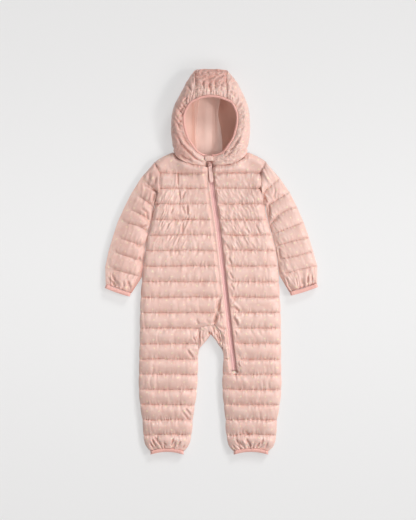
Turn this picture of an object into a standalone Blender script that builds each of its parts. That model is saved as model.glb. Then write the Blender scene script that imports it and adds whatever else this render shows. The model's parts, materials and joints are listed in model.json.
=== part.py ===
"""Baby padded snowsuit with a hood, laid flat on its back.

Frame: millimetres in the tables, metres in the scene. X runs to the wearer's left, Y up the body
to the hood and Z up from the surface that the suit lies on. The origin is under the middle.

Every panel is a wall of cloth and padding. The fronts are quilted on their outer side over a
plain inside, and lie on the backs, whose undersides are flat where they rest.
"""
import math

import bmesh
import bpy
import numpy as np
from mathutils import Matrix

MM = 0.001
COLLECTION = "baby_padded_snowsuit"

# Whole garment
SEAM_GAP = 0.3
HALF_GAP = SEAM_GAP / 2
HOOD_AXIS_X = -2.6
BACK_SEAM_X = -1.6
CHIN_LEAN = -3.6
CHIN_LEAN_Y = 236.0
CHIN_LEAN_RISE = 20.0
CHIN_LEAN_REACH = 26.0

# Heights above the surface
BACK_TOP = 10.35
FRONT_UNDER = BACK_TOP + SEAM_GAP
EDGE_LOW = 7.0
EDGE_HIGH = 14.0
VALLEY_TOP = 14.4
CREST_TOP = 22.5
SLEEVE_VALLEY_TOP = 13.8
SLEEVE_CREST_TOP = 19.5
NECK_TOP = 16.5
EDGE_CURL = 22.0
UNDER_CURL = 9.0
SLEEVE_CURL = 16.0
SLEEVE_EDGE_HIGH = 13.2
SLEEVE_SLIT = (10.0, 11.3)
SLEEVE_WALL = 3.0
CUFF_LOFT = 0.72
SLEEVE_HEAD_BOW = 0.4

# Quilting
QUILT_TOP_Y = 185.2
TORSO_PITCH = 32.6
TORSO_CHANNELS = 12
LEG_PITCH = 31.8
LEG_CHANNELS = 5
CHANNEL_STEPS = (0.0, 0.22, 0.78)
PUFF_POWER = 0.5
FAR = 99.0
LEAST_ROW = 2.2
PLAIN_STRIP = 6.0

# Panel rows: positions in from a side seam and from a sewn seam
SIDE_STEPS = (0.0, 2.0, 8.0, 22.0)
SEAM_STEPS = (0.0, 4.0, 12.0)
MIDDLE_COLUMNS = 3
LEG_COLUMNS = 6
BACK_COLUMNS = 4
YOKE_STEPS = (1.0, 0.78, 0.5, 0.22)
SLEEVE_STEPS = (0.0, 0.06, 0.25, 0.5, 0.75, 0.94, 1.0)
BACK_ROWS = (
    187.0, 175.0, 163.0, 153.0, 143.0, 130.0, 118.0, 90.0, 60.0, 24.0, -10.0, -60.0, -110.0, -153.0,
    -165.3, -174.7, -182.0, -192.0, -240.0, -290.0, -330.0, -363.0, -380.0, -392.0, -401.0,
)

# Hems
HEM_Y = -401.0
HEM_ROWS = (-375.3, -387.3, -401.0)
HEM_PUFF_END = -415.0
HEM_FADE = 30.0
HEM_TOP = 15.5
HEM_GATHERS = 8
GATHER_HEIGHT = 1.4
BINDING_LENGTH = 4.4
BINDING_WALL = 2.6
BINDING_SLIT = (9.2, 11.8)
BINDING_COLUMNS = 15
BINDING_WAVE = 0.45
BINDING_INSET = 1.2
BINDING_EDGE_HIGH = 12.5
BINDING_EDGE_LOW = 8.6
BINDING_RISE = 4.2
BINDING_DROP = 7.0

# Zip
ZIP_HALF_WIDTH = 5.4
ZIP_EDGE = ZIP_HALF_WIDTH + SEAM_GAP * 1.5
ZIP_BOTTOM_Y = -229.0
ZIP_TOP_Y = 218.0
TAPE_UNDER = 13.0
TAPE_TOP = 15.4
TAPE_RAMP_Y = 210.0
TAPE_RAMP_RISE = 7.0
TAPE_NARROW_Y = 198.0
TAPE_NARROW_WIDTH = 4.6
TAPE_ROWS = (
    218.0, 214.0, 210.0, 198.0, 190.0, 155.0, 108.0, 61.5, 10.0, -41.4, -93.0, -144.3, -187.0, -229.0,
)
ARMHOLE_GAP = 0.45

# Outer edge of body and leg. Columns: y, x on the wearer's right, x on the wearer's left
SIDE = (
    (118.0, -118.5, 111.0),
    (100.0, -123.3, 114.0),
    (76.0, -128.4, 120.0),
    (50.0, -134.9, 127.8),
    (24.0, -138.9, 134.0),
    (-2.5, -142.7, 137.8),
    (-33.0, -145.8, 140.6),
    (-64.5, -148.6, 142.4),
    (-102.0, -150.4, 144.6),
    (-165.0, -151.2, 145.6),
    (-207.0, -152.4, 145.6),
    (-280.0, -152.4, 145.4),
    (-308.0, -149.6, 142.0),
    (-329.0, -146.5, 138.0),
    (-346.0, -144.6, 136.2),
    (-367.0, -143.6, 135.6),
    (-380.0, -141.2, 132.6),
    (-392.0, -136.0, 127.6),
    (-401.0, -129.6, 119.6),
)

# Inner leg edges below the crotch. Columns as in SIDE
INNER_LEG = (
    (-153.7, -2.6, -0.6),
    (-165.3, -10.0, 7.9),
    (-174.7, -18.4, 13.6),
    (-182.0, -25.0, 19.6),
    (-192.0, -27.8, 23.8),
    (-211.5, -28.6, 24.2),
    (-240.0, -29.6, 22.6),
    (-275.0, -31.6, 22.8),
    (-300.0, -35.0, 25.2),
    (-330.0, -39.4, 28.6),
    (-363.0, -42.2, 30.4),
    (-378.0, -45.2, 33.2),
    (-392.0, -51.6, 38.4),
    (-401.0, -58.0, 45.0),
)

# Armhole seam, shoulder end to underarm. Columns as in SIDE
ARMHOLE = (
    (208.0, -119.8, 113.8),
    (199.0, -113.4, 108.6),
    (187.0, -109.6, 104.2),
    (163.0, -108.0, 102.8),
    (143.0, -110.8, 104.6),
    (130.0, -114.6, 107.6),
    (118.0, -118.5, 111.0),
)

# Shoulder line and front neck seam. Columns: distance out from the hood's axis, y
SHOULDER_AND_NECK = (
    (0.0, 197.2),
    (20.0, 197.5),
    (37.0, 199.4),
    (54.0, 205.6),
    (67.0, 212.6),
    (75.5, 219.6),
    (80.6, 228.4),
    (97.0, 221.2),
    (112.0, 212.8),
    (117.2, 208.0),
)

NECK_CORNER = 80.6

# Back neck seam, on the same columns, up to the shoulder line
BACK_NECK = (
    (0.0, 217.2),
    (30.0, 217.2),
    (58.0, 218.2),
    (73.0, 221.6),
    (80.6, 228.4),
    (97.0, 221.2),
    (112.0, 212.8),
    (117.2, 208.0),
)

# Zip's centre line. Columns: y, x
ZIP_LINE = (
    (219.0, -5.4),
    (200.0, -3.6),
    (155.0, 1.4),
    (61.5, 14.8),
    (-41.4, 26.8),
    (-144.3, 38.2),
    (-229.0, 48.0),
)

# Seam from the zip down to the gusset, then the gusset's seam on each side. Columns: y, x
RISE_SEAM = ((-66.0, 22.6), (-80.0, 18.2), (-94.0, 14.8), (-121.0, 10.4), (-132.6, 5.4))
GUSSET_SEAM_RIGHT = ((-132.6, 5.4), (-137.0, -24.6), (-159.0, -27.0), (-179.0, -27.9))
GUSSET_SEAM_LEFT = ((-132.6, 5.4), (-146.4, 18.4), (-165.3, 22.0), (-180.4, 23.4))

GUSSET_TIP_END = -200.0
GUSSET_TOP = 17.6
GUSSET_CURL = 9.0
GUSSET_STEPS = (0.0, 0.35, 0.7, 1.0)

# Crotch gusset, right leg to left leg. Columns: free edge x, y, seam x, y
GUSSET = (
    (-25.6, -182.4, -27.3, -179.4),
    (-18.6, -174.6, -26.7, -159.0),
    (-10.2, -165.3, -24.0, -137.6),
    (-1.8, -154.0, 4.6, -133.6),
    (7.9, -165.3, 17.6, -147.0),
    (13.8, -174.6, 21.4, -165.3),
    (19.8, -182.2, 22.9, -180.0),
)

# Sleeve quilt lines, shoulder to cuff. Columns: outer x, outer y, inner y, gap to the body
SLEEVE_RIGHT = (
    (-148.6, 174.9, 115.6, 0.9),
    (-169.6, 141.3, 112.5, 1.2),
    (-184.3, 111.9, 88.0, 1.6),
    (-197.9, 81.5, 60.6, 1.6),
    (-207.6, 51.6, 28.0, 1.6),
    (-216.8, 20.6, -2.5, 1.6),
    (-223.6, -12.0, -33.0, 1.8),
    (-224.6, -42.4, -60.3, 13.9),
    (-222.3, -52.9, -71.6, 21.4),
)
SLEEVE_LEFT = (
    (142.7, 174.6, 115.6, 0.9),
    (163.3, 145.0, 112.5, 1.2),
    (179.0, 114.0, 86.0, 1.8),
    (192.7, 82.5, 59.4, 2.0),
    (204.2, 50.0, 28.0, 2.0),
    (212.8, 21.0, -2.0, 2.0),
    (221.5, -9.5, -31.0, 2.0),
    (224.6, -37.2, -57.0, 17.0),
    (221.0, -51.2, -69.5, 22.0),
)

# Hood, crown seam to zip, one side. Columns: rim, slope, widest, under and end points, each as
# distance out from the hood's axis, y and z
HOOD_SIDE = (
    ((34.0, 342.0, 54.0), (34.0, 374.0, 51.0), (34.0, 404.0, 27.0), (33.0, 391.0, 2.0), (31.0, 372.0, 0.0)),
    ((44.0, 337.0, 53.0), (49.0, 362.0, 50.0), (51.0, 383.0, 27.0), (44.0, 373.0, 2.0), (30.2, 350.0, 0.0)),
    ((52.0, 326.0, 50.0), (63.0, 338.0, 48.0), (66.8, 355.0, 27.0), (57.0, 349.0, 2.0), (29.4, 325.0, 0.0)),
    ((57.5, 311.0, 47.0), (71.0, 318.0, 46.0), (78.4, 326.0, 27.0), (67.0, 325.0, 2.0), (28.5, 300.0, 0.0)),
    ((58.5, 295.0, 45.0), (73.0, 297.0, 45.0), (82.2, 300.0, 27.0), (70.0, 299.0, 2.0), (27.7, 275.0, 0.0)),
    ((56.0, 277.0, 44.0), (71.0, 275.0, 44.0), (82.8, 275.0, 26.0), (70.0, 272.0, 2.0), (26.8, 250.0, 0.0)),
    ((50.0, 257.0, 42.0), (66.0, 254.0, 43.0), (80.6, 253.0, 25.0), (66.0, 246.0, 2.0), (26.0, 217.6, 0.0)),
    ((41.0, 243.0, 39.0), (60.0, 241.0, 41.0), (78.4, 241.0, 24.0), (70.0, 237.0, 3.0), (54.0, 221.0, 0.0)),
    ((33.0, 231.5, 35.0), (55.0, 230.5, 37.0), (73.0, 233.0, 27.0), (77.6, 233.2, 18.0), (78.4, 232.4, 10.0)),
    ((25.0, 225.0, 31.0), (42.0, 220.0, 33.0), (60.0, 216.6, 27.5), (68.6, 218.0, 22.0), (71.8, 219.6, 17.5)),
    ((16.0, 221.0, 28.0), (28.0, 212.0, 30.0), (41.0, 207.0, 26.0), (48.0, 206.4, 21.6), (52.0, 205.6, 17.5)),
    ((6.8, 219.4, 26.0), (7.4, 213.0, 26.6), (8.6, 206.4, 24.4), (9.4, 201.6, 21.2), (10.0, 197.9, 17.5)),
)
# Middle of the hood's centre panel. Columns: distance out, y, z
HOOD_MIDDLE = (
    (0.0, 350.0, 56.0), (0.0, 380.0, 53.0), (0.0, 406.2, 27.0), (0.0, 392.0, 2.0), (0.0, 372.0, 0.0),
)
HOOD_SEAM_FLOOR = ((372.0, 31.0), (217.6, 26.0))
HOOD_LINES_PER_ROW = 2
HOOD_STEPS = 9
HOOD_FLOOR_ROWS = 4
HOOD_CENTRE_COLUMNS = 10
HOOD_WALL = 5.0
FLOOR_BAND = 0.6
NORMAL_SMOOTHING = 6
LINING_WALL = 1.5
LINING_GAP = 0.6
RIM_GATHER = 0.9

# Face binding's section. Columns: distance out past the rim, depth under the hood's surface
BINDING_OUTLINE = ((0.3, -0.2), (1.0, -0.8), (3.8, -0.8), (4.6, 0.4), (4.6, 6.0), (3.8, 7.2), (0.3, 7.2))

# Slider and pull tab
SLIDER_Y = 204.5
SLIDER_SIZE = (9.0, 10.0, 2.3)
SLIDER_BASE = TAPE_TOP + SEAM_GAP
BRIDGE_SIZE = (2.4, 7.4, 3.9)
BRIDGE_BAR = 1.4
TAB_SIZE = (8.0, 37.0, 1.6)
TAB_EYE = (3.4, 5.0)
TAB_BORDER = 1.7

GARAGE_SIZE = (17.0, 11.0, 2.6)
GARAGE_CENTRE = (-5.6, 215.4, 28.65)
GARAGE_SLOPE = math.radians(6.0)


def spline(table, query, column=1):
    """Reads one column of a table against its first column, with smooth cubics between rows."""
    rows = np.array(sorted([(row[0], row[column]) for row in table]))
    keys, values = rows[:, 0], rows[:, 1]
    slopes = np.gradient(values, keys)
    query = np.clip(np.asarray(query, dtype=float), keys[0], keys[-1])
    index = np.clip(np.searchsorted(keys, query) - 1, 0, len(keys) - 2)
    width = keys[index + 1] - keys[index]
    t = (query - keys[index]) / width
    start = (2 * t**3 - 3 * t**2 + 1) * values[index] + (t**3 - 2 * t**2 + t) * width * slopes[index]
    end = (3 * t**2 - 2 * t**3) * values[index + 1] + (t**3 - t**2) * width * slopes[index + 1]
    return start + end


def line(table, query):
    """Reads y to x, or x to y, from a two-column table with straight runs between rows."""
    rows = np.array(sorted(table))
    return np.interp(query, rows[:, 0], rows[:, 1])


def side_x(y, left):
    return float(spline(SIDE, y, 2 if left else 1))


def armhole_x(y, left):
    return float(spline(ARMHOLE, y, 2 if left else 1))


def zip_x(y):
    return float(spline(ZIP_LINE, y))


def outer_x(y, left):
    """Outer edge of a body panel: armhole above the underarm, side seam below it."""
    return armhole_x(y, left) if y > ARMHOLE[-1][0] else side_x(y, left)


def top_y(x, table=SHOULDER_AND_NECK):
    return float(line(table, abs(x - HOOD_AXIS_X)))


def smooth(t):
    t = min(max(t, 0.0), 1.0)
    return t * t * (3 - 2 * t)


def round_over(distance, radius):
    """Quarter circle: 0 at an edge, 1 from one radius in."""
    t = min(max(distance / radius, 0.0), 1.0)
    return math.sqrt(1 - (1 - t) ** 2)


def quilt_lines():
    """Heights of the quilt lines, from below the neck down to the hem."""
    torso = [QUILT_TOP_Y - TORSO_PITCH * k for k in range(TORSO_CHANNELS + 1)]
    legs = [torso[-1] - LEG_PITCH * (k + 1) for k in range(LEG_CHANNELS)]
    return torso + legs


QUILT_LINES = quilt_lines()


def puff(x, y):
    """Loft of a quilted channel: 0 on a stitch line, 1 at the middle of a channel."""
    lines = [top_y(x)] + QUILT_LINES + [HEM_PUFF_END]
    for upper, lower in zip(lines, lines[1:]):
        if lower <= y <= upper:
            t = (upper - y) / (upper - lower)
            return (4 * t * (1 - t)) ** PUFF_POWER
    return 0.0


def body_edge(x, y, left):
    """Distance in from the nearest folded edge: the shoulder line, or the side seam."""
    underarm = ARMHOLE[-1][0]
    side = abs(side_x(min(y, underarm), left) - x) + max(0.0, y - underarm) * 1.2
    shoulder = (top_y(x) - y) * 0.9 if abs(x - HOOD_AXIS_X) > NECK_CORNER else FAR
    return min(side, shoulder)


def seam_fade(distance):
    """Loft left beside a plain topstitched strip."""
    return smooth((distance - PLAIN_STRIP * 0.6) / (PLAIN_STRIP * 1.4))


def leg_x(y, left):
    return float(spline(INNER_LEG, y, 2 if left else 1))


def inner_x(y, left):
    """Inner edge of a front below the zip's slant: rise seam, gusset seam, then inner leg."""
    gap = HALF_GAP if left else -HALF_GAP
    gusset_seam = GUSSET_SEAM_LEFT if left else GUSSET_SEAM_RIGHT
    if y > RISE_SEAM[-1][0]:
        return float(line(RISE_SEAM, y)) + gap
    if y > gusset_seam[-1][0]:
        return float(line(gusset_seam, y)) + gap
    if y < GUSSET_TIP_END:
        return leg_x(y, left)
    tip = gusset_seam[-1][1] + gap
    return max(leg_x(y, left), tip) if left else min(leg_x(y, left), tip)


def seam_distance(x, y, left):
    """Distance from a front's nearest topstitched seam: zip, armhole, rise or inner leg."""
    distances = [FAR]
    if y > ZIP_BOTTOM_Y - PLAIN_STRIP:
        distances.append(abs(x - zip_x(y)) - ZIP_EDGE)
    if y < RISE_SEAM[0][0]:
        distances.append(abs(inner_x(y, left) - x))
    if y > ARMHOLE[-1][0]:
        distances.append(abs(armhole_x(y, left) - x) + PLAIN_STRIP / 2)
    return min(distances)


def front_top(x, y, left):
    """Outer height of a front: quilting, neck seam, gathered hem and curled side."""
    loft = puff(x, y) * seam_fade(seam_distance(x, y, left))
    height = VALLEY_TOP + (CREST_TOP - VALLEY_TOP) * loft
    height += (NECK_TOP - VALLEY_TOP) * smooth(1 - (top_y(x) - y) / (2 * PLAIN_STRIP))
    hem = smooth((y - HEM_Y) / HEM_FADE)
    across = (x - side_x(y, left)) / (leg_x(y, left) - side_x(y, left))
    gathers = GATHER_HEIGHT * math.cos(2 * math.pi * HEM_GATHERS * across) * (1 - hem)
    height = HEM_TOP + (height - HEM_TOP) * hem + gathers
    return EDGE_HIGH + (height - EDGE_HIGH) * round_over(body_edge(x, y, left), EDGE_CURL)


def back_under(x, y, left):
    """Flat underside that curls up to the side seam and shoulder."""
    return EDGE_LOW * (1 - round_over(body_edge(x, y, left), UNDER_CURL))


class Sheet:
    """A panel in plan: rows of points joined one to the next, made solid between two heights."""

    def __init__(self):
        self.points = []
        self.index = {}
        self.faces = []

    def row(self, points):
        """Adds a row from low x to high x and returns its indices; shared points merge."""
        indices = []
        for point in points:
            key = (round(point[0], 3), round(point[1], 3))
            if key not in self.index:
                self.index[key] = len(self.points)
                self.points.append(key)
            indices.append(self.index[key])
        return indices

    def join(self, upper, lower):
        """Faces between two rows, as quads, or as a fan where their counts differ."""
        if len(upper) == len(lower):
            for a, b, c, d in zip(upper, lower, lower[1:], upper[1:]):
                self.faces.append((a, b, c, d))
            return
        i, j = 0, 0
        while i < len(upper) - 1 or j < len(lower) - 1:
            next_upper = (i + 1) / (len(upper) - 1)
            next_lower = (j + 1) / (len(lower) - 1)
            if j == len(lower) - 1 or (i < len(upper) - 1 and next_upper <= next_lower):
                self.faces.append((upper[i], lower[j], upper[i + 1]))
                i += 1
            else:
                self.faces.append((upper[i], lower[j], lower[j + 1]))
                j += 1

    def join_all(self, rows):
        for upper, lower in zip(rows, rows[1:]):
            self.join(upper, lower)

    def solid(self, top, under):
        """Vertices and faces of the closed wall between the heights top(x, y) and under(x, y)."""
        count = len(self.points)
        vertices = [(x, y, top(x, y)) for x, y in self.points]
        vertices += [(x, y, under(x, y)) for x, y in self.points]
        faces = list(self.faces)
        faces += [tuple(i + count for i in reversed(face)) for face in self.faces]
        edges = set()
        for face in self.faces:
            edges.update(zip(face, face[1:] + face[:1]))
        for a, b in edges:
            if (b, a) not in edges:
                faces.append((b, a, a + count, b + count))
        return vertices, faces


def columns(low, high, low_steps, high_steps, middle):
    """Positions from low to high: set distances at each edge and even steps between."""
    width = high - low
    fit = min(1.0, 0.42 * width / max(low_steps[-1], high_steps[-1]))
    start = [low + step * fit for step in low_steps]
    end = [high - step * fit for step in reversed(high_steps)]
    inside = [start[-1] + (end[0] - start[-1]) * k / (middle + 1) for k in range(1, middle + 1)]
    return start + inside + end


def panel_rows(extra):
    """Heights of a front's rows: each channel's stitch line and flanks, and the extra ones."""
    rows = [QUILT_LINES[-1]]
    for upper, lower in zip(QUILT_LINES, QUILT_LINES[1:]):
        rows += [upper + (lower - upper) * step for step in CHANNEL_STEPS]
    rows = [y for y in rows if all(abs(y - other) > LEAST_ROW for other in extra)]
    return sorted(rows + list(extra), reverse=True)


def yoke_rows(sheet, first, left):
    """Rows from the shoulder and neck down to the first quilt line, first being that line."""
    rows = []
    x_top = columns_top(left)
    for step in YOKE_STEPS:
        points = []
        for x_low, x_high in zip(first, x_top):
            y = QUILT_LINES[0] + (top_y(x_high) - HALF_GAP - QUILT_LINES[0]) * step
            points.append((x_low + (x_high - x_low) * step, y))
        rows.append(sheet.row(follow_armhole(points, left)))
    return rows


def follow_armhole(points, left):
    """Slides a row's outer points onto the armhole seam, less and less further in."""
    outer = -1 if left else 0
    end = points[outer]
    shift = armhole_x(end[1], left) + (-HALF_GAP if left else HALF_GAP) - end[0]
    span = abs(points[-1][0] - points[0][0])
    return [(x + shift * max(0.0, 1 - 1.6 * abs(x - end[0]) / span), y) for x, y in points]


def columns_top(left):
    """Positions along the shoulder and neck edge, with one at the neck corner."""
    zip_side = zip_x(197.0) + (ZIP_EDGE if left else -ZIP_EDGE)
    corner = HOOD_AXIS_X + (NECK_CORNER if left else -NECK_CORNER)
    outer = ARMHOLE[0][2 if left else 1]
    shoulder = [outer + (corner - outer) * k / 4 for k in range(4)]
    neck = [corner + (zip_side - corner) * k / 5 for k in range(6)]
    positions = shoulder + neck
    return positions[::-1] if left else positions


def gathered_rows(sheet, left):
    """The gathered end of a front leg, with a row of many points for the small pleats."""
    rows = []
    for y in HEM_ROWS:
        outer, inner = side_x(y, left), leg_x(y, left)
        count = 2 * HEM_GATHERS + 1
        points = [(outer + (inner - outer) * k / (count - 1), y) for k in range(count)]
        rows.append(sheet.row(points[::-1] if left else points))
    return rows


def front_right_sheet():
    sheet = Sheet()
    grid = []
    seam_ends = (RISE_SEAM[-1][0] - 0.6,) + tuple(row[0] - SEAM_GAP for row in GUSSET_SEAM_RIGHT[1::2])
    for y in panel_rows(seam_ends):
        inner = zip_x(y) - ZIP_EDGE if y > RISE_SEAM[0][0] else inner_x(y, False)
        outer = outer_x(y, False) + (HALF_GAP if y > ARMHOLE[-1][0] else 0.0)
        grid.append([(x, y) for x in columns(outer, inner, SIDE_STEPS, SEAM_STEPS, MIDDLE_COLUMNS)])
    rows = yoke_rows(sheet, [point[0] for point in grid[0]], False)
    rows += [sheet.row(points) for points in grid] + gathered_rows(sheet, False)
    sheet.join_all(rows)
    return sheet


def front_left_sheet():
    """Left front: the part beside the zip, the strip inside it and the leg below, in one."""
    sheet = Sheet()
    slit_end = ZIP_BOTTOM_Y - SEAM_GAP
    seam_ends = (RISE_SEAM[0][0] - 1.0, RISE_SEAM[-1][0] - 0.6)
    seam_ends += tuple(row[0] - SEAM_GAP for row in GUSSET_SEAM_LEFT[1::2]) + (slit_end,)
    heights = panel_rows(seam_ends)
    beside = []
    for y in [y for y in heights if y >= slit_end]:
        outer = outer_x(y, True) - (HALF_GAP if y > ARMHOLE[-1][0] else 0.0)
        positions = columns(zip_x(y) + ZIP_EDGE, outer, SEAM_STEPS, SIDE_STEPS, MIDDLE_COLUMNS)
        beside.append([(x, y) for x in positions])
    rows = yoke_rows(sheet, [point[0] for point in beside[0]], True)
    sheet.join_all(rows + [sheet.row(points) for points in beside])
    strip = []
    for y in [y for y in heights if slit_end <= y < RISE_SEAM[0][0]]:
        low, high = inner_x(y, True), zip_x(y) - ZIP_EDGE
        strip.append([(low, y), ((low + high) / 2, y), (high, y)])
    sheet.join_all([sheet.row(points) for points in strip])
    slit_row = strip[-1] + beside[-1]
    leg = [sheet.row(slit_row)]
    for y in [y for y in heights if y < slit_end]:
        leg.append(sheet.row([(x, y) for x in leg_columns(slit_row, slit_end - y, y)]))
    sheet.join_all(leg + gathered_rows(sheet, True))
    return sheet


def leg_columns(slit_row, below, y):
    """Columns of the left leg: those at the slit's end, spread evenly over one channel."""
    low, outer = inner_x(y, True), side_x(y, True)
    even = columns(low, outer, SEAM_STEPS, SIDE_STEPS, LEG_COLUMNS)
    first, last = slit_row[0][0], slit_row[-1][0]
    shares = [(point[0] - first) / (last - first) for point in slit_row]
    keep = max(0.0, 1 - below / LEG_PITCH)
    return [(low + (outer - low) * share) * keep + x * (1 - keep) for share, x in zip(shares, even)]


def gusset_sheet():
    sheet = Sheet()
    rows = []
    for free_x, free_y, seam_x, seam_y in GUSSET:
        across, up = free_x - seam_x, free_y - seam_y
        rows.append(sheet.row([(seam_x + across * t, seam_y + up * t) for t in GUSSET_STEPS]))
    sheet.join_all(rows)
    return sheet


def gusset_top(x, y):
    """Padded between its seams, curling down to the free edge of the arch."""
    arch = GUSSET[3][1] - abs(x - GUSSET[3][0]) * 1.25
    return EDGE_HIGH + (GUSSET_TOP - EDGE_HIGH) * round_over(y - arch, GUSSET_CURL)


def back_top_columns(left, centre):
    """Positions along a back's shoulder and neck edge, from the armhole to the centre seam."""
    outer, corner = ARMHOLE[0][2 if left else 1], HOOD_AXIS_X + (NECK_CORNER if left else -NECK_CORNER)
    positions = [outer, (outer + corner) / 2]
    positions += [corner + (centre - corner) * share for share in (0.0, 0.25, 0.5, 0.75, 0.875, 1.0)]
    return positions[::-1] if left else positions


def back_sheet(left):
    """A back with its leg, from the back neck seam to the hem."""
    sheet = Sheet()
    grid = []
    centre = BACK_SEAM_X + (HALF_GAP if left else -HALF_GAP)
    for y in BACK_ROWS:
        inner = centre if y > BACK_ROWS[13] - 0.1 else leg_x(y, left)
        outer = outer_x(y, left)
        if y > ARMHOLE[-1][0]:
            outer += -HALF_GAP if left else HALF_GAP
        positions = columns(0.0, abs(outer - inner), (0.0,), SIDE_STEPS[:3], BACK_COLUMNS)
        row = [(inner + (x if left else -x), y) for x in positions]
        grid.append(row if left else row[::-1])
    rows = []
    for step in (1.0, 0.5):
        points = []
        for (x_low, _), x_high in zip(grid[0], back_top_columns(left, centre)):
            y = BACK_ROWS[0] + (top_y(x_high, BACK_NECK) - HALF_GAP - BACK_ROWS[0]) * step
            points.append((x_low + (x_high - x_low) * step, y))
        rows.append(sheet.row(follow_armhole(points, left)))
    sheet.join_all(rows + [sheet.row(points) for points in grid])
    return sheet


def tube_solid(rings_outer, rings_inner):
    """Closed wall of a tube from matching outer and inner rings, open at both ends."""
    outer, inner = np.array(rings_outer), np.array(rings_inner)
    rows, around = outer.shape[:2]
    vertices = np.concatenate([outer.reshape(-1, 3), inner.reshape(-1, 3)])
    offset = rows * around
    faces = []
    for r in range(rows - 1):
        for k in range(around):
            n = (k + 1) % around
            a, b, c, d = r * around + k, r * around + n, (r + 1) * around + n, (r + 1) * around + k
            faces.append((a, b, c, d))
            faces.append((a + offset, d + offset, c + offset, b + offset))
    for r in (0, rows - 1):
        for k in range(around):
            n = (k + 1) % around
            a, b = r * around + k, r * around + n
            face = (a, a + offset, b + offset, b)
            faces.append(face if r == 0 else face[::-1])
    return vertices.tolist(), faces


def flat_ring(path, top, low, thickness, slit):
    """Outer and inner ring of a flattened tube whose plan section is the polyline path.

    top and low are the heights at each path point; slit is the hollow's lowest and highest z.
    """
    path = np.array(path)
    outer = [(x, y, z) for (x, y), z in zip(path, top)]
    outer += [(x, y, z) for (x, y), z in zip(path[::-1], low[::-1])]
    inset = path.copy()
    first, last = path[1] - path[0], path[-2] - path[-1]
    inset[0] = path[0] + first / np.linalg.norm(first) * min(thickness, 0.7 * np.linalg.norm(first))
    inset[-1] = path[-1] + last / np.linalg.norm(last) * min(thickness, 0.7 * np.linalg.norm(last))
    inner = [(x, y, slit[1]) for x, y in inset]
    inner += [(x, y, slit[0]) for x, y in inset[::-1]]
    return outer, inner


def sleeve_heights(path, loft):
    """Top and underside heights across a flattened sleeve."""
    length = np.concatenate([[0], np.cumsum(np.linalg.norm(np.diff(path, axis=0), axis=1))])
    height = SLEEVE_VALLEY_TOP + (SLEEVE_CREST_TOP - SLEEVE_VALLEY_TOP) * loft
    top, low = [], []
    for s in length:
        edge = min(s, length[-1] - s)
        top.append(SLEEVE_EDGE_HIGH + (height - SLEEVE_EDGE_HIGH) * round_over(edge, SLEEVE_CURL))
        low.append(EDGE_LOW * (1 - round_over(edge, UNDER_CURL)))
    return np.array(top), np.array(low)


def sleeve_paths(table, left):
    """Plan polylines across the sleeve: the armhole seam, then each quilt line."""
    away = 1.0 if left else -1.0
    top, bottom = ARMHOLE[0][0], ARMHOLE[-1][0]
    heights = [top + (bottom - top) * s for s in SLEEVE_STEPS]
    rows = [np.array([(armhole_x(y, left) + away * ARMHOLE_GAP, y) for y in heights])]
    for row in table:
        outer = np.array(row[:2])
        inner = np.array((side_x(row[2], left) + away * row[3], row[2]))
        rows.append(np.array([outer + (inner - outer) * s for s in SLEEVE_STEPS]))
    chord = rows[0][0] + np.outer(SLEEVE_STEPS, rows[0][-1] - rows[0][0])
    rows[1] = rows[1] + SLEEVE_HEAD_BOW * (rows[0] - chord)
    return rows


def sleeve(table, left):
    """A sleeve: rings at each quilt line and flank, then the gathered cuff end."""
    paths = sleeve_paths(table, left)
    rings = []
    for k, (upper, lower) in enumerate(zip(paths, paths[1:])):
        for step in CHANNEL_STEPS:
            path = upper + (lower - upper) * step
            loft = (4 * step * (1 - step)) ** PUFF_POWER * (CUFF_LOFT if k == len(paths) - 2 else 1.0)
            rings.append(flat_ring(path, *sleeve_heights(path, loft), SLEEVE_WALL, SLEEVE_SLIT))
    top, low = sleeve_heights(paths[-1], 0.0)
    top += GATHER_HEIGHT / 2 * np.cos(np.arange(len(top)) * math.pi)
    rings.append(flat_ring(paths[-1], top, low + SEAM_GAP, SLEEVE_WALL, SLEEVE_SLIT))
    return tube_solid([ring[0] for ring in rings], [ring[1] for ring in rings])


def binding_tube(start, end, direction):
    """Elastic binding at the end of a sleeve or leg, with a soft wave of gathers."""
    start, end, direction = np.array(start), np.array(end), np.array(direction)
    last = BINDING_COLUMNS - 1
    columns_across = np.arange(BINDING_COLUMNS)
    wave = BINDING_WAVE * np.cos(columns_across * math.pi)
    edge = np.array([round_over(min(k, last - k), 1.5) for k in columns_across])
    rings = []
    for step, swell in ((0.0, -0.5), (0.5, 0.3), (1.0, -0.5)):
        first = start + direction * BINDING_LENGTH * step
        path = [first + (end - start) * k / last for k in columns_across]
        top = BINDING_EDGE_HIGH + (BINDING_RISE + swell + wave) * edge
        low = BINDING_EDGE_LOW - (BINDING_DROP + swell) * edge
        rings.append(flat_ring(path, top, low, BINDING_WALL, BINDING_SLIT))
    return tube_solid([ring[0] for ring in rings], [ring[1] for ring in rings])


def curve_through(points, count):
    """Even samples of a smooth curve through control points."""
    points = np.array(points, dtype=float)
    keys = np.concatenate([[0], np.cumsum(np.linalg.norm(np.diff(points, axis=0), axis=1))])
    keys = keys / keys[-1]
    query = np.linspace(0, 1, count)
    tables = [list(zip(keys, points[:, axis])) for axis in range(points.shape[1])]
    return np.stack([spline(table, query) for table in tables], axis=1)


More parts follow.
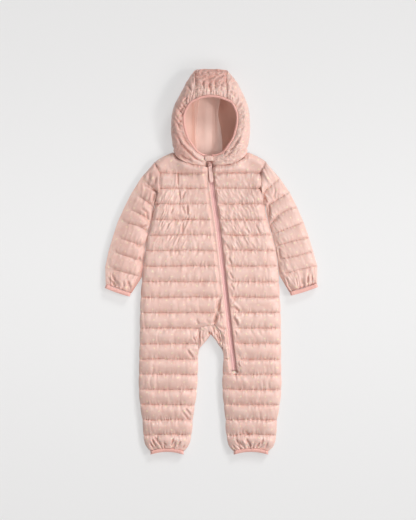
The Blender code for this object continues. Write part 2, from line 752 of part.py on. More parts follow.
def hood_side_grid():
    """Outer surface of one hood side: lines from rim round to its end, crown seam to zip."""
    controls = np.array(HOOD_SIDE)
    keys = np.arange(len(controls))
    query = np.linspace(0, len(controls) - 1, (len(controls) - 1) * HOOD_LINES_PER_ROW + 1)
    dense = np.zeros((len(query),) + controls.shape[1:])
    for point in range(controls.shape[1]):
        for axis in range(3):
            table = list(zip(keys, controls[:, point, axis]))
            is_end = point == controls.shape[1] - 1
            dense[:, point, axis] = line(table, query) if is_end else spline(table, query)
    grid = np.array([curve_through(row, HOOD_STEPS) for row in dense])
    grid[0, :, 0] += SEAM_GAP
    grid[:, -1, 0] = np.where(grid[:, -1, 2] < 0.5, grid[:, -1, 0] + SEAM_GAP, grid[:, -1, 0])
    grid[:, :, 2] = np.maximum(grid[:, :, 2], 0.0)
    return grid


def hood_centre_grid():
    """Outer surface of the centre panel, from rim over the crown and along the floor to the nape."""
    edge = curve_through(HOOD_SIDE[0], HOOD_STEPS)
    middle = curve_through(HOOD_MIDDLE, HOOD_STEPS)
    floor_y = np.linspace(HOOD_SEAM_FLOOR[0][0], HOOD_SEAM_FLOOR[1][0], HOOD_FLOOR_ROWS + 1)[1:]
    floor_edge = np.array([(float(line(HOOD_SEAM_FLOOR, y)), y, 0.0) for y in floor_y])
    floor_middle = np.array([(0.0, y, 0.0) for y in floor_y])
    edge, middle = np.concatenate([edge, floor_edge]), np.concatenate([middle, floor_middle])
    lines = []
    for share in np.linspace(-1, 1, HOOD_CENTRE_COLUMNS + 1):
        points = middle + (edge - middle) * share**2
        points[:, 0] = (edge[:, 0] - HALF_GAP) * share
        points[:, 2] = np.maximum(points[:, 2], 0.0)
        lines.append(points)
    return np.array(lines)


def outward_normals(grid):
    """Unit normals of a surface grid, away from the inside of the hood."""
    along = np.gradient(grid, axis=0)
    across = np.gradient(grid, axis=1)
    normals = np.cross(along, across)
    normals /= np.maximum(np.linalg.norm(normals, axis=2, keepdims=True), 1e-9)
    heart = np.array((0.0, np.mean(grid[:, :, 1]), HOOD_MIDDLE[2][2]))
    if np.sum((grid - heart) * normals) < 0:
        normals = -normals
    on_floor = grid[:, :, 2] < FLOOR_BAND
    normals[on_floor] = (0.0, 0.0, -1.0)
    return normals


def seam_normals(normals):
    """A side's normals, evened out, and turned into the crown seam's plane beside it."""
    normals = normals.copy()
    for _ in range(NORMAL_SMOOTHING):
        normals[1:-1] = (normals[:-2] + 2 * normals[1:-1] + normals[2:]) / 4
    normals /= np.linalg.norm(normals, axis=2, keepdims=True)
    for row, share in ((0, 1.0), (1, 0.4)):
        normals[row, :, 0] *= 1 - share
        normals[row] /= np.linalg.norm(normals[row], axis=1, keepdims=True)
    return normals


def rim_gathers(grid, normals):
    """Small pleats that the elastic draws up next to the rim."""
    waved = grid.copy()
    for row in range(1, len(grid) - 1):
        sign = 1.0 if row % 2 else -1.0
        for step, share in ((0, 0.6), (1, 1.0), (2, 0.5)):
            waved[row, step] += normals[row, step] * RIM_GATHER * sign * share
    return waved


def on_garment(points, mirror):
    """Hood points placed on the garment: right side mirrored, chin leaning to the zip."""
    drop = np.clip((CHIN_LEAN_Y - points[..., 1]) / CHIN_LEAN_RISE, 0.0, 1.0)
    near_zip = np.clip(1 - np.abs(points[..., 0]) / CHIN_LEAN_REACH, 0.0, 1.0)
    placed = points.copy()
    placed[..., 0] = HOOD_AXIS_X + points[..., 0] * (-1.0 if mirror else 1.0)
    placed[..., 0] += CHIN_LEAN * drop**2 * (3 - 2 * drop) * near_zip
    return placed


def wall(grid, raised, normals, near, far, mirror):
    """Closed wall between two depths under a surface grid, placed on the hood's axis.

    raised is the same grid with what stands up on the wall's outer side.
    """
    outer = on_garment(raised - normals * near, mirror)
    inner = on_garment(grid - normals * far, mirror)
    rows, steps = grid.shape[:2]
    vertices = np.concatenate([outer.reshape(-1, 3), inner.reshape(-1, 3)])
    offset = rows * steps
    faces = []
    for r in range(rows - 1):
        for s in range(steps - 1):
            a, b = r * steps + s, (r + 1) * steps + s
            faces.append((a, b, b + 1, a + 1))
            faces.append((a + offset, a + 1 + offset, b + 1 + offset, b + offset))
    for s in range(steps - 1):
        a, b = s, (rows - 1) * steps + s
        faces.append((a, a + 1, a + 1 + offset, a + offset))
        faces.append((b, b + offset, b + 1 + offset, b + 1))
    for r in range(rows - 1):
        a, b = r * steps, r * steps + steps - 1
        faces.append((a, a + offset, a + steps + offset, a + steps))
        faces.append((b, b + steps, b + steps + offset, b + offset))
    return vertices.tolist(), faces


def rim_sections(grid, normals, rows, mirror):
    """Outlines of the binding across the rim, one for each line of a hood panel."""
    sections = []
    for row in rows:
        rim, normal = grid[row, 0], normals[row, 0]
        along = rim - grid[row, 1]
        along = along - normal * np.dot(along, normal)
        along /= np.linalg.norm(along)
        outline = [rim + along * out - normal * depth for out, depth in BINDING_OUTLINE]
        sections.append(on_garment(np.array(outline), mirror))
    return sections


def face_binding():
    """Elastic binding round the face opening, from one side of the zip to the other."""
    side, centre = hood_side_grid(), hood_centre_grid()
    side_normals = seam_normals(outward_normals(side))
    sections = rim_sections(side, side_normals, range(len(side) - 1, 0, -1), True)
    sections += rim_sections(centre, outward_normals(centre), range(len(centre)), False)
    sections += rim_sections(side, side_normals, range(1, len(side)), False)
    sections = np.array(sections)
    count, around = sections.shape[:2]
    faces = []
    for r in range(count - 1):
        for k in range(around):
            n = (k + 1) % around
            faces.append((r * around + k, r * around + n, (r + 1) * around + n, (r + 1) * around + k))
    faces.append(tuple(range(around)))
    faces.append(tuple(reversed(range((count - 1) * around, count * around))))
    return sections.reshape(-1, 3).tolist(), faces


def zip_tape(left):
    """One half of the zip's tape, flat beside its centre line and rising to the chin."""
    sheet = Sheet()
    rows = []
    sign = 1.0 if left else -1.0
    for y in TAPE_ROWS:
        width = TAPE_NARROW_WIDTH if y >= TAPE_NARROW_Y else ZIP_HALF_WIDTH
        edges = sorted((zip_x(y) + sign * HALF_GAP, zip_x(y) + sign * width))
        rows.append(sheet.row([(edges[0], y), (sum(edges) / 2, y), (edges[1], y)]))
    sheet.join_all(rows)

    def rise(y):
        return TAPE_RAMP_RISE * max(0.0, (y - TAPE_RAMP_Y) / (ZIP_TOP_Y - TAPE_RAMP_Y))

    return sheet.solid(lambda x, y: TAPE_TOP + rise(y), lambda x, y: TAPE_UNDER + rise(y))


def material(name, colour, roughness, metallic=0.0):
    made = bpy.data.materials.new(name)
    made.use_nodes = True
    shader = made.node_tree.nodes["Principled BSDF"]
    shader.inputs["Base Color"].default_value = (*colour, 1.0)
    shader.inputs["Roughness"].default_value = roughness
    shader.inputs["Metallic"].default_value = metallic
    return made


def add_solid(name, solid, finish, collection):
    """Adds one closed body from its vertices in millimetres and its faces."""
    vertices, faces = solid
    mesh = bpy.data.meshes.new(name)
    mesh.from_pydata([tuple(c * MM for c in vertex) for vertex in vertices], [], faces)
    edit = bmesh.new()
    edit.from_mesh(mesh)
    bmesh.ops.recalc_face_normals(edit, faces=edit.faces[:])
    edit.to_mesh(mesh)
    edit.free()
    mesh.validate()
    mesh.shade_smooth()
    mesh.materials.append(finish)
    made = bpy.data.objects.new(name, mesh)
    collection.objects.link(made)
    return made


def box(name, size, centre, bevel=0.0):
    """A box primitive in millimetres, its edges rounded by the bevel."""
    bpy.ops.mesh.primitive_cube_add(size=1.0)
    made = bpy.context.object
    made.name = name
    place = Matrix.Translation([c * MM for c in centre])
    made.data.transform(place @ Matrix.Diagonal([s * MM for s in size] + [1.0]))
    if bevel:
        rounding = made.modifiers.new("rounding", "BEVEL")
        rounding.width = bevel * MM
        rounding.segments = 2
    return made


def combine(target, other, operation):
    """Boolean of one object with another, applied; the other is removed."""
    step = target.modifiers.new(operation.lower(), "BOOLEAN")
    step.operation = operation
    step.object = other
    bpy.context.view_layer.update()
    depsgraph = bpy.context.evaluated_depsgraph_get()
    mesh = bpy.data.meshes.new_from_object(target.evaluated_get(depsgraph))
    target.modifiers.clear()
    target.data = mesh
    bpy.data.objects.remove(other)


def zip_angle(y):
    """Lean of the zip at a height, as a turn about Z."""
    return math.atan2(zip_x(y - 5.0) - zip_x(y + 5.0), 10.0)


def slider_frame():
    """Placement of the slider and pull tab: on the zip line, turned along it."""
    place = Matrix.Translation((zip_x(SLIDER_Y) * MM, SLIDER_Y * MM, 0.0))
    return place @ Matrix.Rotation(zip_angle(SLIDER_Y), 4, "Z")


def hinge_height():
    """Height of the pull tab's hinge under the slider's bridge."""
    return SLIDER_BASE + SLIDER_SIZE[2] + SEAM_GAP + TAB_SIZE[2] / 2


def zip_slider(finish, collection):
    """Slider body with its bridge: two posts and a bar that the pull tab hinges under."""
    width, length, height = SLIDER_SIZE
    bridge_width, bridge_length, bridge_height = BRIDGE_SIZE
    body = box("zip_slider", SLIDER_SIZE, (0.0, 0.0, SLIDER_BASE + height / 2), 0.6)
    low = SLIDER_BASE + height
    arch_size = (bridge_width, bridge_length, bridge_height + 0.4)
    arch = box("arch", arch_size, (0.0, 0.0, low + bridge_height / 2 - 0.2))
    window_size = (bridge_width + 2.0, bridge_length - 2 * BRIDGE_BAR, bridge_height - BRIDGE_BAR + 0.4)
    window = box("window", window_size, (0.0, 0.0, low + (bridge_height - BRIDGE_BAR) / 2 - 0.2))
    combine(arch, window, "DIFFERENCE")
    combine(body, arch, "UNION")
    body.data.materials.clear()
    body.data.materials.append(finish)
    body.matrix_world = slider_frame()
    settle(body, collection)
    return body


def pull_tab(finish, collection):
    """Long flat tab with a square eye, its end bar held under the slider's bridge."""
    width, length, thick = TAB_SIZE
    height = hinge_height()
    centre_y = thick / 2 - length / 2
    tab = box("pull_tab", TAB_SIZE, (0.0, centre_y, height), 0.5)
    eye = box("eye", (TAB_EYE[0], TAB_EYE[1], thick + 2.0), (0.0, -thick / 2 - TAB_EYE[1] / 2, height))
    combine(tab, eye, "DIFFERENCE")
    tab.data.materials.clear()
    tab.data.materials.append(finish)
    tab.data.transform(Matrix.Translation((0.0, 0.0, -height * MM)))
    tab.matrix_world = slider_frame() @ Matrix.Translation((0.0, 0.0, height * MM))
    settle(tab, collection)
    return tab


def settle(made, collection):
    """Moves an object into the garment's collection only."""
    for holder in list(made.users_collection):
        holder.objects.unlink(made)
    collection.objects.link(made)


def garage(finish, collection):
    made = box("zip_garage", GARAGE_SIZE, (0.0, 0.0, 0.0), 1.0)
    made.data.materials.append(finish)
    place = Matrix.Translation([c * MM for c in GARAGE_CENTRE])
    made.matrix_world = place @ Matrix.Rotation(GARAGE_SLOPE, 4, "X")
    settle(made, collection)
    return made


def body_panels(cloth, collection):
    """Fronts, backs and gusset, from their sheets and heights."""
    fronts = (("front_right", False, front_right_sheet()), ("front_left", True, front_left_sheet()))
    for name, left, sheet in fronts:
        solid = sheet.solid(lambda x, y, left=left: front_top(x, y, left), lambda x, y: FRONT_UNDER)
        add_solid(name, solid, cloth, collection)
    for name, left in (("back_right", False), ("back_left", True)):
        solid = back_sheet(left).solid(lambda x, y: BACK_TOP, lambda x, y, left=left: back_under(x, y, left))
        add_solid(name, solid, cloth, collection)
    add_solid("crotch_gusset", gusset_sheet().solid(gusset_top, lambda x, y: FRONT_UNDER), cloth, collection)


def add_binding(name, first, last, down, trim, collection):
    """A binding along the line from first to last, just past the end of its sleeve or leg."""
    across = (last - first) / np.linalg.norm(last - first)
    start = first + down * SEAM_GAP + across * BINDING_INSET
    end = last + down * SEAM_GAP - across * BINDING_INSET
    add_solid(name, binding_tube(start, end, down), trim, collection)


def limbs(cloth, trim, collection):
    """Sleeves, and the elastic bindings at cuffs and leg ends."""
    for name, table, left in (("right", SLEEVE_RIGHT, False), ("left", SLEEVE_LEFT, True)):
        add_solid(f"sleeve_{name}", sleeve(table, left), cloth, collection)
        path = sleeve_paths(table, left)[-1]
        across = path[-1] - path[0]
        down = np.array((across[1], -across[0])) * (-1.0 if left else 1.0)
        down /= np.linalg.norm(down)
        add_binding(f"cuff_binding_{name}", path[0], path[-1], down, trim, collection)
        first, last = np.array((side_x(HEM_Y, left), HEM_Y)), np.array((leg_x(HEM_Y, left), HEM_Y))
        add_binding(f"hem_binding_{name}", first, last, np.array((0.0, -1.0)), trim, collection)


def hood(cloth, lining, trim, collection):
    """Three hood panels, the lining under each and the binding round the face."""
    side = hood_side_grid()
    side_normals = seam_normals(outward_normals(side))
    centre = hood_centre_grid()
    centre_normals = outward_normals(centre)
    lining_top = HOOD_WALL + LINING_GAP
    for layer, change, near, far, finish in (
        ("hood", rim_gathers, 0.0, HOOD_WALL, cloth),
        ("lining", None, lining_top, lining_top + LINING_WALL, lining),
    ):
        for part, grid, normals, mirror in (
            ("right", side, side_normals, True),
            ("centre", centre, centre_normals, False),
            ("left", side, side_normals, False),
        ):
            raised = change(grid, normals) if change else grid
            solid = wall(grid, raised, normals, near, far, mirror)
            add_solid(f"{layer}_{part}", solid, finish, collection)
    add_solid("face_binding", face_binding(), trim, collection)


def main():
    for existing in list(bpy.data.objects):
        bpy.data.objects.remove(existing, do_unlink=True)
    collection = bpy.data.collections.new(COLLECTION)
    bpy.context.scene.collection.children.link(collection)
    cloth = material("quilted_cloth", (0.80, 0.52, 0.46), 0.45)
    lining = material("lining_cloth", (0.83, 0.60, 0.54), 0.6)
    trim = material("elastic_binding", (0.74, 0.40, 0.35), 0.6)
    tape = material("zip_tape", (0.76, 0.45, 0.45), 0.6)
    metal = material("painted_slider", (0.74, 0.42, 0.42), 0.35, 0.2)
    body_panels(cloth, collection)
    limbs(cloth, trim, collection)
    hood(cloth, lining, trim, collection)
    add_solid("zip_tape_right", zip_tape(False), tape, collection)
    add_solid("zip_tape_left", zip_tape(True), tape, collection)
    zip_slider(metal, collection)
    pull_tab(metal, collection)
    garage(cloth, collection)


main()
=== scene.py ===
"""Dresses a baby's padded snowsuit that lies flat on its back.

Sizes are millimetres until a mesh is made. X runs to the wearer's left, Y up to the hood and Z up
from the surface. Each panel is a function of two parameters on a grid, put into the mesh at once.
"""

import json
import logging
import math
from dataclasses import dataclass, field
from enum import Enum

import bpy
import numpy as np
from mathutils import Matrix, Vector

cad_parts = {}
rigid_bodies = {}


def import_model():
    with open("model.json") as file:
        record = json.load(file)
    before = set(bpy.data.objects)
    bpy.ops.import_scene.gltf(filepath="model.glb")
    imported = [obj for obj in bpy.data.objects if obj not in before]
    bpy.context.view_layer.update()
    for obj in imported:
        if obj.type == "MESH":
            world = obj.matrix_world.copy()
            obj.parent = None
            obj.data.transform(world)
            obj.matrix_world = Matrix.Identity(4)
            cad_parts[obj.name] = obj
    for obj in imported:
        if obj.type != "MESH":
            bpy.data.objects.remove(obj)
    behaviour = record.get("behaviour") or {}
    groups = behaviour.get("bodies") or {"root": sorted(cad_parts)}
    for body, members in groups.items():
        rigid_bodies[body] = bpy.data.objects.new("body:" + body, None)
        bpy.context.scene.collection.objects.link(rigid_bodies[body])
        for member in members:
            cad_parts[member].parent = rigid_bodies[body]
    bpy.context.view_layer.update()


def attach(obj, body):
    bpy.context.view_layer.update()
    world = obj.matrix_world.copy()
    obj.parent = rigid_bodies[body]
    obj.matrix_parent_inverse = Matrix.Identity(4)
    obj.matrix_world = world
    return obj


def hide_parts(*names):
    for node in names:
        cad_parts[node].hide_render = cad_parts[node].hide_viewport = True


Array = np.ndarray
Pair = tuple[float, float]
Triple = tuple[float, float, float]
Table = tuple[tuple[float, ...], ...]
Material = bpy.types.Material
Socket = bpy.types.NodeSocket

logging.basicConfig(level=logging.INFO, format="%(message)s")
LOG = logging.getLogger("snowsuit")

MM = 0.001
BODY = "suit"
PULL_BODY = "pull"

# Cut of the garment in plan

SEAM_GAP = 0.3
HOOD_AXIS_X = -2.6
BACK_SEAM_X = -1.6

# Outer edge of body and leg. Columns: y, x on the wearer's right, x on the wearer's left
SIDE_EDGE: Table = (
    (118, -118.5, 111), (100, -123.3, 114), (76, -128.4, 120), (50, -134.9, 127.8),
    (24, -138.9, 134), (-2.5, -142.7, 137.8), (-33, -145.8, 140.6), (-64.5, -148.6, 142.4),
    (-102, -150.4, 144.6), (-165, -151.2, 145.6), (-207, -152.4, 145.6), (-280, -152.4, 145.4),
    (-308, -149.6, 142), (-329, -146.5, 138), (-346, -144.6, 136.2), (-367, -143.6, 135.6),
    (-380, -141.2, 132.6), (-392, -136, 127.6), (-401, -129.6, 119.6),
)
# Inner leg edges below the crotch. Columns as in SIDE_EDGE
INNER_LEG: Table = (
    (-153.7, -2.6, -0.6), (-165.3, -10, 7.9), (-174.7, -18.4, 13.6), (-182, -25, 19.6),
    (-192, -27.8, 23.8), (-211.5, -28.6, 24.2), (-240, -29.6, 22.6), (-275, -31.6, 22.8),
    (-300, -35, 25.2), (-330, -39.4, 28.6), (-363, -42.2, 30.4), (-378, -45.2, 33.2),
    (-392, -51.6, 38.4), (-401, -58, 45),
)
# Armhole seam, shoulder end to underarm. Columns as in SIDE_EDGE
ARMHOLE: Table = (
    (208, -119.8, 113.8), (199, -113.4, 108.6), (187, -109.6, 104.2), (163, -108, 102.8),
    (143, -110.8, 104.6), (130, -114.6, 107.6), (118, -118.5, 111),
)
# Shoulder line and front neck seam. Columns: distance out from the hood's axis, y
SHOULDER_AND_NECK: Table = (
    (0, 197.2), (20, 197.5), (37, 199.4), (54, 205.6), (67, 212.6), (75.5, 219.6), (80.6, 228.4),
    (97, 221.2), (112, 212.8), (117.2, 208),
)
NECK_CORNER = 80.6
NECK_CORNER_Y = 228.4
# Back neck seam, on the same columns
BACK_NECK: Table = (
    (0, 217.2), (30, 217.2), (58, 218.2), (73, 221.6), (80.6, 228.4), (97, 221.2), (112, 212.8),
    (117.2, 208),
)
# Zip's centre line. Columns: y, x
ZIP_LINE: Table = (
    (219, -5.4), (200, -3.6), (155, 1.4), (61.5, 14.8), (-41.4, 26.8), (-144.3, 38.2), (-229, 48),
)
ZIP_EDGE = 5.85
ZIP_BOTTOM_Y = -229.0
SLIT_END_Y = ZIP_BOTTOM_Y - SEAM_GAP
# Seam from the zip down to the gusset, and the gusset's seams. Columns: y, x
RISE_SEAM: Table = ((-66, 22.6), (-80, 18.2), (-94, 14.8), (-121, 10.4), (-132.6, 5.4))
GUSSET_SEAM_RIGHT: Table = ((-132.6, 5.4), (-137, -24.6), (-159, -27), (-179, -27.9))
GUSSET_SEAM_LEFT: Table = ((-132.6, 5.4), (-146.4, 18.4), (-165.3, 22), (-180.4, 23.4))
GUSSET_TIP_END = -200.0
# Crotch gusset. Columns: free edge x, y, seam x, y
GUSSET: Table = (
    (-25.6, -182.4, -27.3, -179.4), (-18.6, -174.6, -26.7, -159), (-10.2, -165.3, -24, -137.6),
    (-1.8, -154, 4.6, -133.6), (7.9, -165.3, 17.6, -147), (13.8, -174.6, 21.4, -165.3),
    (19.8, -182.2, 22.9, -180),
)
# Hood, crown seam to zip, one side. Each row holds the rim, slope, widest, under and end points,
# each as distance out from the hood's axis, y and z
HOOD_SIDE: Table = (
    (34, 342, 54, 34, 374, 51, 34, 404, 27, 33, 391, 2, 31, 372, 0),
    (44, 337, 53, 49, 362, 50, 51, 383, 27, 44, 373, 2, 30.2, 350, 0),
    (52, 326, 50, 63, 338, 48, 66.8, 355, 27, 57, 349, 2, 29.4, 325, 0),
    (57.5, 311, 47, 71, 318, 46, 78.4, 326, 27, 67, 325, 2, 28.5, 300, 0),
    (58.5, 295, 45, 73, 297, 45, 82.2, 300, 27, 70, 299, 2, 27.7, 275, 0),
    (56, 277, 44, 71, 275, 44, 82.8, 275, 26, 70, 272, 2, 26.8, 250, 0),
    (50, 257, 42, 66, 254, 43, 80.6, 253, 25, 66, 246, 2, 26, 217.6, 0),
    (41, 243, 39, 60, 241, 41, 78.4, 241, 24, 70, 237, 3, 54, 221, 0),
    (33, 231.5, 35, 55, 230.5, 37, 73, 233, 27, 77.6, 233.2, 18, 78.4, 232.4, 10),
    (25, 225, 31, 42, 220, 33, 60, 216.6, 27.5, 68.6, 218, 22, 71.8, 219.6, 17.5),
    (16, 221, 28, 28, 212, 30, 41, 207, 26, 48, 206.4, 21.6, 52, 205.6, 17.5),
    (6.8, 219.4, 26, 7.4, 213, 26.6, 8.6, 206.4, 24.4, 9.4, 201.6, 21.2, 10, 197.9, 17.5),
)
# Middle of the hood's centre panel: the same five points, one to a row
HOOD_MIDDLE: Table = ((0, 350, 56), (0, 380, 53), (0, 406.2, 27), (0, 392, 2), (0, 372, 0))
# The centre panel's seams on the floor. Columns: y, distance out
HOOD_SEAM_FLOOR: Table = ((372, 31), (217.6, 26))
HOOD_WALL = 5.0
LINING_GAP = 0.6
LINING_WALL = 1.5
CHIN_LEAN = -3.6
CHIN_LEAN_Y = 236.0
CHIN_LEAN_RISE = 20.0
CHIN_LEAN_REACH = 26.0
CHIN_CLOSE = (3.0, 5.5)
CHIN_SINK = 4.0
NECK_RAISE = 7.2
CROWN_EASE = 5.0
CROWN_EASE_Y = 270.0
CROWN_SLOPE = 5.0
CROWN_SLOPE_Y = 362.0

# Zip, slider and tab
ZIP_TOP_Y = 218.0
TAPE_HALF_WIDTH = 5.4
TAPE_NARROW_WIDTH = 4.6
TAPE_NARROW_Y = 198.0
TAPE_UNDER = 13.0
TAPE_TOP = 15.4
TAPE_RAMP_Y = 210.0
TAPE_RAMP_RISE = 7.0
SLIDER_Y = 204.5
SLIDER_BASE = TAPE_TOP + SEAM_GAP
SLIDER_HEIGHT = 2.3
TAB_THICKNESS = 1.6
HINGE_HEIGHT = SLIDER_BASE + SLIDER_HEIGHT + SEAM_GAP + TAB_THICKNESS / 2

UNDERARM_Y = ARMHOLE[-1][0]
HEM_Y = -401.0
HEM_TUCK = 2.8
BODY_UNDER = 10.65

# Quilting
QUILT_TOP_Y = 185.2
TORSO_PITCH = 32.6
TORSO_CHANNELS = 12
LEG_PITCH = 31.8
LEG_CHANNELS = 5
LOFT_POWER = 0.56
PLAIN_STRIP = 6.0
FAR = 99.0


class Side(Enum):
    """Side of the wearer; the value is the sign of x and picks the table column."""

    RIGHT = -1
    LEFT = 1

    @property
    def column(self) -> int:
        """Column of the outline tables that belongs to this side."""
        return 2 if self is Side.LEFT else 1

    @property
    def word(self) -> str:
        """Name of the side in the pieces' names."""
        return self.name.lower()


# Curves and noise


def cubic(
    t: Array, width: Array, low: Array, low_slope: Array, high: Array, high_slope: Array
) -> Array:
    """Cubic between two values with given slopes, as t goes from 0 to 1 over a width."""
    start = (2 * t**3 - 3 * t**2 + 1) * low + (t**3 - 2 * t**2 + t) * width * low_slope
    return start + ((3 * t**2 - 2 * t**3) * high + (t**3 - t**2) * width * high_slope)


def hermite(keys: Array, values: Array, query: Array) -> Array:
    """Smooth cubic through values at keys, each slope the weighted mean of its two neighbours.

    Args:
        keys: Rising keys.
        values: One value, or one block of values, for each key.
        query: Keys to read at, held inside the range.

    Returns:
        The values at the queries, in the shape of the query and then of a block.
    """
    slopes = np.gradient(values, keys, axis=0)
    query = np.clip(np.asarray(query, dtype=float), keys[0], keys[-1])
    index = np.clip(np.searchsorted(keys, query) - 1, 0, len(keys) - 2)
    width = keys[index + 1] - keys[index]
    t = (query - keys[index]) / width
    t, width = (a.reshape(a.shape + (1,) * (values.ndim - 1)) for a in (t, width))
    return cubic(t, width, values[index], slopes[index], values[index + 1], slopes[index + 1])


def through(points: Array, count: int) -> Array:
    """Smooth lines through rows of control points, read at even shares of each line's length.

    Args:
        points: Control points, lines by controls by axes.
        count: Points to give on each line.

    Returns:
        Lines by count by axes.
    """
    keys = length_along(points, 1)
    keys = keys / keys[:, -1:]
    width = np.diff(keys, axis=1)[..., None]
    slope = np.diff(points, axis=1) / width
    before, after = width[:, :-1], width[:, 1:]
    inner = (slope[:, 1:] * before + slope[:, :-1] * after) / (before + after)
    slopes = np.concatenate([slope[:, :1], inner, slope[:, -1:]], axis=1)
    query = np.linspace(0, 1, count)
    index = (keys[:, None, :] <= query[None, :, None]).sum(axis=2) - 1
    index = np.clip(index, 0, keys.shape[1] - 2)
    row = np.arange(len(points))[:, None]
    span = width[row, index]
    t = ((query[None] - keys[row, index]) / span[..., 0])[..., None]
    low, high = (row, index), (row, index + 1)
    return cubic(t, span, points[low], slopes[low], points[high], slopes[high])


def spline(table: Table | Array, query: Array | float, column: int = 1) -> Array:
    """Reads a column of a table against its first column, with a smooth cubic between rows."""
    rows = np.array(sorted([(row[0], row[column]) for row in table]))
    return hermite(rows[:, 0], rows[:, 1], np.asarray(query, dtype=float))


def line(table: Table, query: Array | float) -> Array:
    """Reads a two-column table with straight runs between rows."""
    return np.interp(query, *np.array(sorted(table)).T)


def read_along(query: Array, keys: Array, points: Array) -> Array:
    """Points read at new keys, straight between their own keys."""
    return np.stack([np.interp(query, keys, column) for column in points.T], axis=1)


def length_along(grid: Array, axis: int = 0) -> Array:
    """Distance along the lines of a grid, from 0 at their start."""
    steps = np.linalg.norm(np.diff(grid, axis=axis), axis=-1)
    start = np.zeros_like(np.take(steps, [0], axis=axis))
    return np.concatenate([start, np.cumsum(steps, axis=axis)], axis=axis)


def between(low: Array, high: Array, share: Array) -> Array:
    """Rows of places that run from low to high by shares."""
    return low[:, None] + (high - low)[:, None] * share


def unit(vectors: Array) -> Array:
    """Vectors at a length of one."""
    return vectors / np.linalg.norm(vectors, axis=-1, keepdims=True)


def smooth(t: Array | float) -> Array:
    """Eases 0 to 1: 3 t squared less 2 t cubed, held at both ends."""
    t = np.clip(t, 0, 1)
    return t * t * (3 - 2 * t)


def dome(distance: Array, radius: float) -> Array:
    """Quarter circle: 0 at an edge, 1 from one radius in."""
    t = np.clip(distance / radius, 0, 1)
    return np.sqrt(1 - (1 - t) ** 2)


def bell(distance: Array, width: float) -> Array:
    """Gaussian: 1 at no distance, 0.37 at one width."""
    return np.exp(-((distance / width) ** 2))


def loft_of(t: Array) -> Array:
    """Flattened arch of a channel: 0 at both stitch lines, 1 halfway."""
    return (4 * t * (1 - t)) ** LOFT_POWER


def noise(u: Array, v: Array, seed: int) -> Array:
    """Smooth random field from -1 to 1 with one value at each whole u and v.

    The lattice repeats after 64 cells, and a quintic eases from one lattice value to the next.
    """
    lattice = np.random.default_rng(seed).uniform(-1, 1, (64, 64))
    iu, iv = np.floor(u).astype(int), np.floor(v).astype(int)
    fu, fv = u - iu, v - iv
    fu, fv = (f**3 * (f * (f * 6 - 15) + 10) for f in (fu, fv))
    low, high = (
        lattice[row % 64, iu % 64] * (1 - fu) + lattice[row % 64, (iu + 1) % 64] * fu
        for row in (iv, iv + 1)
    )
    return low * (1 - fv) + high * fv


@dataclass(frozen=True)
class Folds:
    """Field of long soft folds that all run roughly one way, valleys tighter than crests.

    Noise is stretched along the heading and bent by slower noise. The root of its square plus a
    little keeps the crests round and draws the valleys in.
    """

    heading: float
    spacing: float
    run: float
    seed: int
    bend: float = 0.8
    tightness: float = 0.05

    def at(self, x: Array, y: Array) -> Array:
        """Height of the folds, from about -0.5 to 0.8."""
        turn = math.radians(self.heading)
        along = x * math.cos(turn) + y * math.sin(turn)
        across = y * math.cos(turn) - x * math.sin(turn)
        slow = noise(along / self.run, across / self.run, self.seed + 7)
        across = across + self.bend * self.spacing * slow
        wave = noise(across / self.spacing, along / self.run, self.seed)
        return np.sqrt(wave**2 + self.tightness) * 1.6 - 0.62


def route_distance(x: Array, y: Array, route: Array) -> tuple[Array, Array, float]:
    """Measures places in plan against a bent line.

    Returns:
        Distance to the line, how far along it the nearest place lies, and the line's length.
    """
    nearest, place, start = np.full(np.shape(x), FAR), np.zeros(np.shape(x)), 0
    steps = np.diff(route, axis=0)
    for (x0, y0), (dx, dy), length in zip(route, steps, np.linalg.norm(steps, axis=1)):
        t = np.clip(((x - x0) * dx + (y - y0) * dy) / length**2, 0, 1)
        away = np.hypot(x - x0 - t * dx, y - y0 - t * dy)
        closer = away < nearest
        nearest = np.where(closer, away, nearest)
        place = np.where(closer, start + t * length, place)
        start += length
    return nearest, place, start


@dataclass(frozen=True)
class Crease:
    """One soft trough or ridge along a bent line in plan: a Gaussian across, eased at both ends."""

    width: float
    height: float
    route: Array

    def at(self, x: Array, y: Array) -> Array:
        """Height that the crease adds at each point, below 0 in a trough."""
        nearest, place, length = route_distance(x, y, self.route)
        ends = smooth(np.minimum(place, length - place) / (0.3 * length) + 0.15)
        return self.height * bell(nearest, self.width) * ends


def crease_rows(*rows: tuple[float, ...]) -> tuple[Crease, ...]:
    """Makes creases from rows of width, height, and then x and y of each point."""
    return tuple(Crease(*row[:2], np.reshape(row[2:], (-1, 2))) for row in rows)


def patch(x: Array, y: Array, centre: Pair, reach: Pair) -> Array:
    """Soft elliptical window: 1 in the middle, 0 past its reach."""
    away = np.hypot((x - centre[0]) / reach[0], (y - centre[1]) / reach[1])
    return smooth(1.25 * (1 - away))


# Outline


def side_x(y: Array, side: Side) -> Array:
    """Outer edge of body and leg."""
    return spline(SIDE_EDGE, y, side.column)


def armhole_x(y: Array, side: Side) -> Array:
    """Armhole seam."""
    return spline(ARMHOLE, y, side.column)


def leg_x(y: Array, side: Side) -> Array:
    """Inner edge of a leg."""
    return spline(INNER_LEG, y, side.column)


def zip_x(y: Array) -> Array:
    """Zip's centre line."""
    return spline(ZIP_LINE, y)


def outer_x(y: Array, side: Side) -> Array:
    """Outer edge of a body panel: armhole above the underarm, side seam below it."""
    armhole = armhole_x(y, side) - side.value * SEAM_GAP / 2
    return np.where(np.asarray(y) > UNDERARM_Y, armhole, side_x(y, side))


def neck_y(x: Array, table: Table = SHOULDER_AND_NECK) -> Array:
    """Neck seam and shoulder line."""
    return line(table, np.abs(np.asarray(x) - HOOD_AXIS_X))


